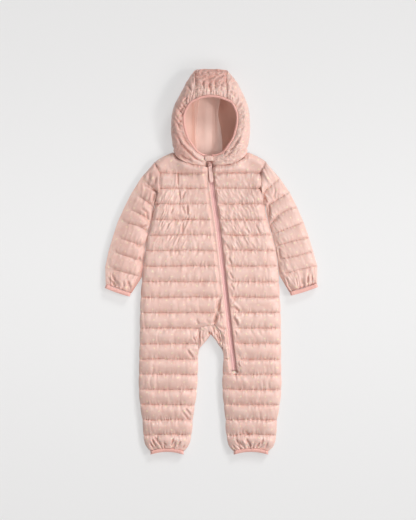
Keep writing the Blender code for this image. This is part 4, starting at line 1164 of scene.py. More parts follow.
@dataclass
class Fronts:
    """Both quilted fronts with their legs, split by the slanting zip."""

    rows: int = 17
    yoke_rows: int = 24
    across: int = 126
    beside: int = 96
    strip: int = 15
    slit: int = 8
    arch: float = 6.0
    zip_lean: Pair = (1.1, 1.5)
    arm_tuck: float = 1.1
    neck_tuck: Pair = (3.8, 2.2)
    corner_tuck: float = 4.6

    def yoke_of(self, first: Array, side: Side) -> Array:
        """The part of a front above its first quilt line."""
        zip_side = zip_x(197) + side.value * ZIP_EDGE
        up = steps_between(self.yoke_rows, 0.3)[::-1]
        end = -1 if side is Side.LEFT else 0
        return yoke(first, side, zip_side, up, SHOULDER_AND_NECK, end)

    def right_plan(self) -> list[Array]:
        """Right front: armhole and side to the zip, the rise seam and the inner leg."""
        y = body_rows(self.rows)
        on_zip = y > RISE_SEAM[0][0]
        inner = np.where(on_zip, zip_x(y) - ZIP_EDGE, inner_x(y, Side.RIGHT))
        x = between(outer_x(y, Side.RIGHT), inner, steps_between(self.across, 0.3))
        return [self.yoke_of(x[0], Side.RIGHT), level_rows(x, y)]

    def left_plan(self) -> list[Array]:
        """Left front: the part beside the zip, the strip inside it, and the leg below both."""
        side = Side.LEFT
        y = body_rows(self.rows)
        y = np.sort(np.append(y[np.abs(y - SLIT_END_Y) > 0.7], SLIT_END_Y))[::-1]
        beside_y, leg_y = y[y >= SLIT_END_Y], y[y <= SLIT_END_Y]
        strip_y = beside_y[beside_y < RISE_SEAM[0][0] - 0.5]
        share = steps_between(self.beside, 0.3)
        beside = between(zip_x(beside_y) + ZIP_EDGE, outer_x(beside_y, side), share)
        share = np.linspace(0, 1, self.strip + 1)
        strip = between(inner_x(strip_y, side), zip_x(strip_y) - ZIP_EDGE, share)
        gap = np.linspace(strip[-1, -1], beside[-1, 0], self.slit + 1)[1:-1]
        row = np.concatenate([strip[-1], gap, beside[-1]])
        even = steps_between(len(row) - 1, 0.3)
        start = (row - row[0]) / (row[-1] - row[0])
        keep = np.clip(1 - (SLIT_END_Y - leg_y) / LEG_PITCH, 0, 1)[:, None]
        leg = between(inner_x(leg_y, side), side_x(leg_y, side), start * keep + even * (1 - keep))
        leg[0] = row
        parts = ((beside, beside_y), (strip, strip_y), (leg, leg_y))
        return [self.yoke_of(beside[0], side)] + [level_rows(*part) for part in parts]

    def overhang(self, x: Array, y: Array) -> Array:
        """How far the folded edge beside the zip leans in over the tape."""
        away = x - zip_x(y)
        near = bell(np.maximum(np.abs(away) - ZIP_EDGE, 0), 2.5) * smooth((y - SLIT_END_Y) / 4)
        return -np.sign(away) * np.where(away < 0, *self.zip_lean) * near

    def seams(self, quilting: Quilting) -> list[Array]:
        """Stitched lines over one front: its quilt lines, and topstitching beside zip and armhole.

        A quilt line's own height is its level less its waver, found by repeated substitution.
        """
        side = quilting.side
        left = side is Side.LEFT
        plans = []
        for level in QUILT_LINES:
            inner = inner_x(level, side)
            if level > (SLIT_END_Y if left else RISE_SEAM[0][0]):
                inner = zip_x(level) + side.value * (ZIP_EDGE + PLAIN_STRIP)
            x = np.linspace(outer_x(level, side) - side.value * 3, inner + side.value * 1.5, 160)
            y = np.full(len(x), level)
            for _ in range(4):
                y = level - quilting.waver(x, y)
            plans.append((x, y))
        y = np.linspace(188, SLIT_END_Y + 2 if left else RISE_SEAM[0][0] - 4, 400)
        plans.append((zip_x(y) + side.value * (ZIP_EDGE + PLAIN_STRIP - 0.6), y))
        y = np.linspace(ARMHOLE[0][0] - 6, UNDERARM_Y + 3, 160)
        plans.append((armhole_x(y, side) - side.value * 2.6, y))
        return [self.surface_at(quilting, x, y) for x, y in plans]

    def surface_at(self, quilting: Quilting, x: Array, y: Array) -> Array:
        """Points of a front's outer side over places in plan."""
        side = quilting.side
        height = np.maximum(quilting.top(x, y), BODY_UNDER + 0.4)
        drawn = x + quilting.scallop(x, y) + self.overhang(x, y)
        drawn = drawn + side.value * self.arm_tuck * bell(quilting.arm_distance(x, y), 1.2)
        out = np.abs(x - HOOD_AXIS_X)
        below = neck_y(x) - y
        under_hood = smooth(1 - below / 3) * (out < NECK_CORNER - 3)
        under_hood = under_hood * smooth((np.abs(x - zip_x(y)) - 7) / 8)
        placed = hem_arch(x, y, side, self.arch) + self.neck_tuck[0] * under_hood
        at_corner = smooth((out - 70) / 5) * smooth((NECK_CORNER + 4 - out) / 4)
        at_corner = at_corner * smooth(1 - below / 4)
        drawn = drawn - side.value * self.corner_tuck * at_corner
        return np.stack([drawn, placed, height - self.neck_tuck[1] * under_hood], axis=1)

    def build(self, finishes: Finishes, stitching: Stitching) -> None:
        """Builds and dresses both fronts."""
        parts = (
            (Quilting(Side.RIGHT, RIGHT_CREASES), self.right_plan()),
            (Quilting(Side.LEFT, LEFT_CREASES), self.left_plan()),
        )
        for quilting, grids in parts:
            plan, faces = join(grids)
            x, y = plan.T
            top = self.surface_at(quilting, x, y)
            drawn, placed = x + quilting.scallop(x, y), hem_arch(x, y, quilting.side, self.arch)
            under = np.stack([drawn, placed, np.full(len(x), BODY_UNDER)], axis=1)
            stitching.routes += self.seams(quilting)
            surface = padded_shell(plan, faces, top, under)
            # Painted shade on the outer side, repeated for the inner side.
            surface.hollow = np.tile(quilting.hollow(x, y), 2)
            node = f"front_{quilting.side.word}"
            piece = make_piece(f"{node}_quilted", surface, finishes.shell, (node,))


@dataclass
class Backs:
    """Both backs with their legs, quilted as the fronts are and flat where they rest."""

    rows: int = 9
    across: int = 40
    top: float = 10.35
    edge: float = 9.7
    curl: float = 12.0
    stitch_rise: float = 3.2

    def plan(self, side: Side) -> list[Array]:
        """Plan of one back, from the back neck seam to the hem."""
        y = body_rows(self.rows)
        centre = BACK_SEAM_X + side.value * SEAM_GAP / 2
        inner = np.where(y > INNER_LEG[0][0], centre, leg_x(y, side))
        x = between(outer_x(y, side), inner, steps_between(self.across, 0.4))
        up = np.linspace(1, 0, self.rows + 1)
        return [yoke(x[0], side, centre, up, BACK_NECK), level_rows(x, y)]

    def under(self, quilting: Quilting, x: Array, y: Array) -> Array:
        """Underside: channels rest on the surface, stitch lines and edges lift off it."""
        sunk = 1 - loft_of(quilting.place(x, y)[0])
        height = self.stitch_rise * sunk + 0.5 * np.abs(Folds(88, 9, 20, 123).at(x, y)) * sunk
        edge_away = quilting.edge_distance(x, y)
        return self.edge + (height - self.edge) * dome(edge_away, self.curl)

    def build(self, finishes: Finishes) -> None:
        """Builds and dresses both backs."""
        for side in Side:
            quilting = Quilting(side)
            plan, faces = join(self.plan(side))
            x, y = plan.T
            drawn, placed = x + quilting.scallop(x, y), hem_arch(x, y, side, Fronts.arch)
            top = np.stack([drawn, placed, np.full(len(x), self.top)], axis=1)
            under = np.stack([drawn, placed, self.under(quilting, x, y)], axis=1)
            node = f"back_{side.word}"
            surface = padded_shell(plan, faces, top, under)
            piece = make_piece(f"{node}_quilted", surface, finishes.shell, (node,))


@dataclass
class Gusset:
    """Crotch gusset: a small padded arch between the legs."""

    columns: int = 90
    rows: int = 26
    top: float = 19.4
    edge: float = 11.2
    curl: float = 8.0
    creases: tuple[Crease, ...] = crease_rows(
        (1.6, -4.4, 10.6, -141, 15, -154.1, 18.2, -172), (1.5, 2.6, 11.8, -146.4, 16.9, -160),
        (1.6, -3.6, 7.6, -151, 12.5, -161, 16.7, -171.7), (1.8, -4, -6.2, -146.5, -5.4, -155),
        (1.8, -2.4, 3, -138, 6, -150), (1.7, -3.6, -26.6, -139, -26, -157, -25, -170, -26.6, -180),
        (2, -2.2, -19, -141, -20.5, -166),
    )

    def build(self, finishes: Finishes) -> None:
        """Builds and dresses the gusset: a loft from its seam to its free edge."""
        table = np.array(GUSSET)
        keys = np.linspace(0, 1, len(table))
        rows = read_along(np.linspace(0, 1, self.columns + 1), keys, table)
        free, seam = rows[:, :2], rows[:, 2:]
        share = steps_between(self.rows, 0.4)[None, :, None]
        plan, faces = join([between(seam, free, share)])
        x, y = plan.T
        peak_x, peak_y = GUSSET[3][:2]
        below = y - (peak_y - np.abs(x - peak_x) * 1.25)
        from_seam = np.min(np.hypot(x[:, None] - seam[:, 0], y[:, None] - seam[:, 1]), axis=1)
        height = self.edge + (self.top - self.edge) * dome(below, self.curl)
        height -= 0.5 * bell(from_seam, 1.6)
        height += 1.5 * Folds(106, 4.2, 14, 203).at(x, y)
        height += 1.2 * Folds(72, 5, 14, 207).at(x, y)
        for crease in self.creases:
            height += crease.at(x, y)
        height = np.maximum(height, BODY_UNDER + 0.3)
        top = np.stack([x, y, height], axis=1)
        under = np.stack([x, y, np.full(len(x), BODY_UNDER)], axis=1)
        surface = padded_shell(plan, faces, top, under)
        # Painted shade: a dark spot at the apex, in the creases' troughs and along the free edge.
        hollow = 0.9 * bell(np.hypot(x - peak_x + 2, y - peak_y - 3), 4)
        for crease in self.creases:
            hollow = np.maximum(hollow, -0.15 * crease.at(x, y))
        hollow = np.maximum(hollow, 0.5 * (1 - dome(below, 3)))
        surface.hollow = np.tile(np.clip(hollow, 0, 1), 2)
        name = "crotch_gusset"
        piece = make_piece(f"{name}_padded", surface, finishes.shell, (name,))


# Sleeves and bindings


# Lines across a sleeve, from the first quilt line to the cuff: x and y of each control point
SLEEVE_LINES = {
    Side.RIGHT: (
        (-148.6, 174.9, -132.8, 161.3, -121.3, 150.8, -114.6, 142, -116.9, 131.5, -120.9, 117.4),
        (-169.6, 141.3, -154.9, 137.1, -136, 124.5, -126, 117, -121, 110.5),
        (-184.3, 111.9, -154.9, 101.4, -136, 89.5, -127.2, 83),
        (-197.9, 81.5, -160, 75.5, -143, 67.5, -133, 60.5), (-207.6, 51.6, -175.9, 42.4, -139, 30),
        (-216.8, 20.6, -180, 11, -143.2, -2), (-223.6, -12, -185, -23.4, -146.4, -32.8),
        (-222.8, -47.6, -196, -57.2, -168.6, -66.6),
    ),
    Side.LEFT: (
        (142.7, 174.6, 126.5, 160.2, 114, 149, 109.4, 142, 109.9, 131, 113.4, 117.4),
        (163.3, 145, 145.4, 134.2, 131.8, 125.6, 118.6, 115.6, 114.6, 104),
        (179, 114, 153.8, 105.2, 137, 94.6, 127.6, 83.5, 121.2, 75),
        (192.7, 82.5, 160.1, 68.6, 138, 61, 126.6, 58), (204.2, 50, 170, 42, 133.2, 32),
        (212.8, 21, 177, 10.8, 158, 6.9, 138.2, 4),
        (221.5, -9.5, 190, -16.4, 165, -22.6, 141.6, -28.6), (221.4, -45.6, 193, -55, 162.6, -64.4),
    ),
}
SLEEVE_CREASES = {
    Side.RIGHT: crease_rows(
        (2, -3.8, -138.1, 157.3, -124.4, 150.6, -114.1, 146), (2.2, -4.2, -120, 143.9, -124.4, 124),
        (2, 2.2, -125.5, 146, -129.5, 127), (2.4, -2.8, -133.5, 188.8, -126.7, 161.7),
        (2.6, -2.4, -145, 172, -139, 152), (2.2, -2.8, -117.5, 178, -118.5, 160),
        (2.2, -3.6, -149.2, 112.4, -131.1, 98.9), (2, -3.2, -138.1, 103.5, -133.5, 85.3),
        (2.2, -3.2, -153.8, 76.2, -144.8, 71.8, -134, 76.2),
        (2.2, -3.2, -160.5, 40.5, -155.9, 31.3, -143, 35.9), (2.2, -3, -153.8, 9, -146, -4.6),
        (1.8, -4.4, -222.1, -31, -213.7, -39.4, -205.3, -47.8, -193.7, -54),
        (1.8, -4.4, -211.6, -24.7, -207.4, -35.2, -199, -45.7, -190.6, -52),
        (1.6, 2.4, -210.5, -36, -201, -46.5), (1.8, -4, -178, -39.4, -173.8, -49.9, -169.6, -58.3),
        (1.7, -3, -187, -42, -183, -56),
    ),
    Side.LEFT: crease_rows(
        (1.9, -3.2, 132.8, 155, 130.5, 128.1), (2.3, -4.2, 118.5, 121.4, 121.5, 110, 119.5, 90),
        (2, -3.6, 110.5, 137.1, 115.8, 121.4), (2.2, -2.8, 126.1, 80.9, 141.9, 94.3),
        (2.2, -2.4, 139, 143, 137, 133), (2.2, -3.2, 140.2, 29.2, 141.5, 17.9, 143.9, 4.4),
        (1.8, -4, 156, -33, 161, -50, 168, -60), (1.7, -4.4, 199.8, -30, 202, -38, 199, -47),
        (1.7, -3.6, 188, -36, 189, -50), (1.8, -3.4, 176, -34, 180, -54),
        (1.8, -2.8, 209, -30, 212, -43),
    ),
}


@dataclass
class Sleeves:
    """Both quilted sleeves: flattened tubes that stay open through to the cuff."""

    rows: int = 15
    across: int = 64
    valley: float = 13.6
    crest: float = 20.0
    edge: float = 11.0
    low_edge: float = 9.2
    curl: float = 18.0
    under_curl: float = 10.0
    slit: Pair = (10.0, 11.3)
    wall: float = 3.0
    cuff_loft: float = 0.75
    cuff_width: float = 8.2
    head_rise: float = 5.6
    inner_shade: Pair = (0.85, 0.6)
    tuck: float = 4.5
    tilt: Pair = (5.6, 0.0)
    # Width and strength of the painted shade along the stitch lines.
    groove_width: float = 1.5
    groove_tone: float = 0.5

    def paths(self, side: Side) -> Array:
        """Plan lines across the sleeve: the armhole seam, each quilt line, then the binding."""
        share = steps_between(self.across, 0.45)
        y = ARMHOLE[0][0] + (UNDERARM_Y - ARMHOLE[0][0]) * share
        rows = [np.stack([armhole_x(y, side) + side.value * 0.3, y], axis=1)]
        for controls in SLEEVE_LINES[side]:
            dense = through(np.reshape(controls, (1, -1, 2)), 240)[0]
            length = length_along(dense)
            rows.append(read_along(share * length[-1], length, dense))
        return np.array(rows)

    def folds(
        self, x: Array, y: Array, across: Array, loft: Array, side: Side, down: Array
    ) -> Array:
        """Height of the shell's folds: long ones from the shoulder, short ones, and the cuff's."""
        inside = across[:, -1:] - across
        head = smooth(1 - down / 0.32)
        cuff = smooth((down - 0.86) / 0.12)
        lean = 72 if side is Side.RIGHT else 115
        column = side.column
        arm = Folds(lean + side.value * 12, 4.6, 18, 311 + column).at(x, y)
        folds = Folds(lean, 6, 40, 301 + column).at(x, y) * (0.5 + 2.2 * head)
        folds += arm * bell(inside, 24) * 2
        short = Folds(90 + side.value * 20, 4.2, 11, 321).at(x, y) * 1.7 * (1 - 0.8 * loft)
        uneven = across / 6.5 + 0.6 * noise(across / 20, down * 9, 333)
        pleat = np.abs(noise(uneven, down * 5 + 0 * across, 331 + column))
        folds += short + cuff * (5.6 * np.sqrt(pleat + 0.01) - 2.6)
        for crease in SLEEVE_CREASES[side]:
            folds += crease.at(x, y)
        return folds

    def height(
        self, grid: Array, loft: Array, side: Side, down: Array
    ) -> tuple[Array, Array, Array]:
        """Upper and lower heights over the sleeve's plan grid.

        Args:
            grid: Plan points, rows by columns.
            loft: Loft of each row, 0 on a stitch line.
            side: Side of the wearer.
            down: Share of the way from shoulder to cuff, one for each row.

        Returns:
            Heights of the upper side and of the lower side, and the painted shade over it.
        """
        x, y = grid[..., 0], grid[..., 1]
        loft, down = loft[:, None], down[:, None]
        across = length_along(grid, 1)
        inside = across[:, -1:] - across
        edge = np.minimum(across, inside)
        folds = self.folds(x, y, across, loft, side, down)
        plump = 1 + 0.12 * noise(x / 30, y / 18, 341)
        height = self.valley + (self.crest - self.valley) * loft * plump
        height += folds - 1.6 * (1 - np.clip(edge / 45, 0, 1)) ** 2
        head = smooth(1 - down / 0.32)
        shoulder = 1 + 0.45 * smooth(1 - across / 34)
        height += self.head_rise * shoulder * head * bell(down, 0.10)
        tuck = self.tuck if side is Side.RIGHT else 0.5 * self.tuck
        height = height - tuck * bell(inside, 9)
        height = height - self.tilt[side.column - 1] * smooth(1 - across / 44)
        top = self.edge + (height - self.edge) * dome(edge, self.curl - 13 * bell(down, 0.12))
        low = self.low_edge + (2.4 * (1 - loft) - self.low_edge) * dome(edge, self.under_curl)
        # Painted shade: the body's shadow on the inner edge, shade in the folds' troughs, and the
        # whole wearer's right sleeve a little darker, as it slopes from the light.
        shade = bell(inside, 2.2 + 3.6 * smooth((45 - y) / 70)) * (down > 0.2)
        groove = 0.26 * np.maximum(0.3 - folds, 0) * self.groove_tone
        tone = np.maximum(groove, self.inner_shade[side.column - 1] * shade)
        tone += 0.17 * (side is Side.RIGHT)
        return np.maximum(top, self.slit[1] + 0.5), np.minimum(low, self.slit[0] - 0.4), tone

    def surface(self, side: Side, stitching: Stitching) -> Surface:
        """Closed wall of one sleeve: rings at every row, each an upper and a lower line."""
        paths = self.paths(side)
        channels = len(paths) - 1
        shares = steps_between(self.rows, 0.45)[:-1]
        gain = np.append(np.ones(channels - 1), self.cuff_loft)
        grid = paths[:-1, None] + np.diff(paths, axis=0)[:, None] * shares[:, None, None]
        grid = np.concatenate([grid.reshape(-1, *paths.shape[1:]), paths[-1:]])
        loft = np.append(loft_of(shares) * gain[:, None], 0)
        down = np.append((np.arange(channels)[:, None] + shares) / channels, 1)
        top, low, deep = self.height(grid, loft, side, down)
        along = length_along(grid.mean(axis=1))
        width = np.linalg.norm(grid - grid[:, :1], axis=2)
        cloth = level_rows(width, -along)
        cloth = np.concatenate([cloth, cloth[:, ::-1] + (300, 0)], axis=1)
        narrowing = 2 * self.wall / 100
        made = flat_tube(grid, top, low, self.slit, narrowing, cloth.reshape(-1, 2))
        rows, around = cloth.shape[:2]
        ring = made.points[: rows * around].reshape(rows, around, 3)
        for row in (*range(self.rows, rows - 1, self.rows), 2):
            stitching.routes.append(ring[row, 3 : grid.shape[1] - 3])
        # Painted shade along the stitch lines and in the folds of the outer wall; none on the inner
        # wall.
        uneven = 0.75 + 0.45 * noise(ring[..., 0] / 5, ring[..., 1] / 16, 351)
        groove = bell(self.line_distance(loft), self.groove_width)[:, None]
        hollow = self.groove_tone * groove * uneven
        hollow = np.maximum(hollow, np.concatenate([deep, deep[:, ::-1]], axis=1)).reshape(-1)
        made.hollow = np.clip(np.append(hollow, np.zeros(rows * around)), 0, 1)
        return made

    def line_distance(self, loft: Array) -> Array:
        """Rough distance from the stitch line, from a row's share of full loft."""
        arch = np.clip(loft, 0, 1) ** (1 / LOFT_POWER)
        return 15 * (1 - np.sqrt(np.maximum(0, 1 - arch)))

    def build(self, finishes: Finishes, stitching: Stitching) -> None:
        """Builds and dresses both sleeves and their cuff bindings."""
        for side in Side:
            node = f"sleeve_{side.word}"
            name = f"{node}_quilted"
            surface = self.surface(side, stitching)
            piece = make_piece(name, surface, finishes.shell, (node,))
            path = self.paths(side)[-1]
            across = (path[-1] - path[0]) / np.linalg.norm(path[-1] - path[0])
            down = np.array((across[1], -across[0])) * -side.value
            cuff = Binding(length=self.cuff_width)
            cuff.build(f"cuff_binding_{side.word}", name, path[0], path[-1], down, -1.2, finishes)


@dataclass
class Binding:
    """Elastic binding at the end of a sleeve or leg: a flat ring drawn into small gathers."""

    length: float = 4.6
    rows: int = 8
    columns: int = 90
    wall: float = 1.8
    slit: Pair = (9.4, 11.6)
    inset: float = 0.9
    rise: float = 5.4
    drop: float = 7.2
    edge_high: float = 12.4
    edge_low: float = 8.6
    gap: float = 0.1
    swell: float = 1.1
    pinch: float = 0.3
    gather: float = 0.5
    gather_pitch: float = 2.6
    curl: float = 5.0

    def build(
        self,
        node: str,
        sewn_to: str,
        first: Array,
        last: Array,
        down: Array,
        arch: float,
        finishes: Finishes,
    ) -> None:
        """Builds one binding just past the edge that it is sewn to, cut twice as wide and folded.

        Args:
            node: Solid that it replaces.
            sewn_to: Piece that it is sewn to; not used.
            first: One end of the edge, in plan.
            last: Its other end.
            down: Unit direction away from the garment.
            arch: Height of the edge's bow, against down.
            finishes: The garment's materials.
        """
        across = (last - first) / np.linalg.norm(last - first)
        start = first + down * self.gap + across * self.inset
        end = last + down * self.gap - across * self.inset
        width = np.linalg.norm(end - start)
        share = np.linspace(0, 1, self.columns + 1)
        bow = (arch * 4 * share * (1 - share))[:, None]
        edge_line = start + (end - start) * share[:, None] - down * bow
        step = np.linspace(0, 1, self.rows + 1)
        plan = edge_line + down * (self.length * step)[:, None, None]
        swell = (np.sin(math.pi * step) * self.swell - self.pinch)[:, None]
        place = share * width / self.gather_pitch
        gather = self.gather * np.abs(noise(place, share * 0 + 0.5, 401 + len(node)))
        edge = dome(np.minimum(share, 1 - share) * width, self.curl)
        top = self.edge_high + (self.rise + swell + gather) * edge
        low = self.edge_low - (self.drop + swell) * edge
        around = np.concatenate([share * width, 2 * width - share[::-1] * width])
        cloth = level_rows(np.tile(around, (len(step), 1)), step * self.length).reshape(-1, 2)
        surface = flat_tube(plan, top, low, self.slit, 2 * self.wall / width, cloth)
        piece = make_piece(f"{node}_elastic", surface, finishes.binding, (node,))


def build_hem_bindings(finishes: Finishes) -> None:
    """Builds the binding at the end of each leg."""
    down = np.array((0, -1))
    hem = Binding(length=4.6 + HEM_TUCK)
    for side in Side:
        ends = (float(edge(HEM_Y, side)) for edge in (side_x, leg_x))
        first, last = (np.array((x, HEM_Y)) - down * HEM_TUCK for x in ends)
        node, sewn_to = f"hem_binding_{side.word}", f"front_{side.word}_quilted"
        hem.build(node, sewn_to, first, last, down, Fronts.arch, finishes)


# Hood


def on_garment(points: Array, side: Side) -> Array:
    """Hood points placed on the garment: mirrored to their side, the chin leaning to the zip.

    The crown sits a little lower than its pattern, and its right shoulder slopes in more.
    """
    x, y, z = (points[..., k] for k in range(3))
    drop = smooth((CHIN_LEAN_Y - y) / CHIN_LEAN_RISE)
    near_zip = np.clip(1 - np.abs(x) / CHIN_LEAN_REACH, 0, 1)
    slack = (y - CROWN_EASE_Y) / (HOOD_MIDDLE[2][1] - CROWN_EASE_Y)
    out = side.value * x
    slope = CROWN_SLOPE * bell(y - CROWN_SLOPE_Y, 40) * smooth((-out - 14) / 34)
    close = drop * near_zip**2
    closed = side.value * CHIN_CLOSE[side.column - 1] * close
    placed = np.empty_like(points)
    placed[..., 0] = HOOD_AXIS_X + out + slope + CHIN_LEAN * drop * near_zip - closed
    ease = 1.6 + CROWN_EASE * np.clip(z / 54, 0, 1)
    placed[..., 1] = y - np.maximum(slack, 0) * ease
    placed[..., 2] = z - CHIN_SINK * close * smooth((z - 17) / 6)
    return placed


def eased_normals(grid: Array, passes: int) -> Array:
    """Unit normals of a hood grid, away from its hollow and evened out over their neighbours."""
    normals = np.cross(np.gradient(grid, axis=0), np.gradient(grid, axis=1))
    normals /= np.maximum(np.linalg.norm(normals, axis=2, keepdims=True), 1e-9)
    heart = np.array((0, np.mean(grid[:, :, 1]), HOOD_MIDDLE[2][2]))
    if np.sum((grid - heart) * normals) < 0:
        normals = -normals
    normals[grid[:, :, 2] < 0.6] = (0, 0, -1)
    for _ in range(passes):
        for turned in (normals, normals.swapaxes(0, 1)):
            turned[1:-1] = (turned[:-2] + 2 * turned[1:-1] + turned[2:]) / 4
    return unit(normals)


@dataclass
class HoodPanel:
    """One hood panel: its outer grid from the rim outwards, normals, and places in millimetres."""

    node: str
    grid: Array
    side: Side
    rim: Array
    passes: int = 8
    crown_seam: bool = False
    ease: int = 6

    def __post_init__(self) -> None:
        """Works out the normals and the distances from the rim.

        Normals turn upright along the crown seam, so that its two panels meet.
        """
        self.normals = eased_normals(self.grid, self.passes)
        if self.crown_seam:
            self.normals[: self.ease, :, 0] *= (np.arange(self.ease) / self.ease)[:, None]
        self.normals = unit(self.normals)
        self.from_rim = length_along(self.grid, 1)
        from_end = self.from_rim[:, -1:] - self.from_rim
        end = self.grid[:, -1:]
        at_neck = smooth((228 - end[..., 1]) / 14) * smooth((end[..., 0] - 8) / 12)
        self.raised = NECK_RAISE * smooth(1 - from_end / 20) * at_neck * self.crown_seam

    def wall(self, lift: Array, far: float) -> Surface:
        """Closed wall from the grid, lifted, to a depth under it."""
        outer = on_garment(self.grid + self.normals * lift[..., None], self.side)
        inner = on_garment(self.grid - self.normals * far, self.side)
        for points in (outer, inner):
            points[..., 2] += self.raised
        outer[..., 2] = np.maximum(outer[..., 2], 0)
        rim = np.repeat(self.rim[:, None], self.grid.shape[1], axis=1)
        return grid_shell(np.dstack([rim, self.from_rim]), outer, inner)


# Columns: width, height, then x and y of each point
HOOD_CREASES = {
    "hood_right": crease_rows(
        (2.2, -5.6, -73.4, 263, -65.2, 244.7, -48.8, 228.3, -32.2, 213.5, -17, 206.5),
        (2.6, 2, -68, 263, -59.5, 246, -45, 232, -30, 219),
        (2.2, -2.8, -60, 262, -52, 247, -41, 236), (2.2, -2.8, -77, 296, -70, 283, -66, 270),
        (2, -3, -55.3, 327.2, -68.8, 307.2), (2, -3, -53.5, 316, -67, 296),
        (2, -2.8, -56, 302, -70, 286), (2, -3, -50, 341, -62, 330), (2, -3, -42, 352, -48, 365),
        (2.4, -3.2, -70, 226, -56, 215.5, -40, 209),
    ),
    "hood_left": crease_rows(
        (2, -3.2, 60.2, 261.2, 43.6, 238.1), (2.2, 1.8, 64, 257, 48, 236),
        (2, -3.2, 56.8, 249.4, 33.7, 227.3), (2, -3, 46.7, 230.6, 23.6, 216.4),
        (1.8, -2.6, 30, 232, 24, 222), (2.2, -2.2, 68, 283, 60, 272), (2.2, -2.4, 62, 330, 52, 318),
        (2, -2.6, 47, 352, 45.5, 340),
    ),
    "hood_centre": crease_rows(
        (1.9, -2.6, -31, 396, -10, 399.5, 28, 396.5), (2, -2.4, -28, 384, -6, 380, 10, 386),
        (2, -2.2, 4, 392, 16, 383, 26, 386), (2, -2.8, -20, 372, -16, 356),
        (2, -3, -6, 370, -5, 354), (2, -2.8, 7, 373, 6, 356), (2, -2.6, 20, 368, 17, 354),
    ),
}
LINING_CREASES = crease_rows(
    (1.8, 3, -34.5, 350, -35.2, 300, -35.6, 260, -33, 222),
    (6, -2.4, 3.5, 345, 4.8, 300, 4, 250, 3, 225), (7, 1.4, -14, 345, -12, 300, -13, 240),
    (4.5, 2, 14, 345, 12, 310, 15.5, 262, 17, 235),
)


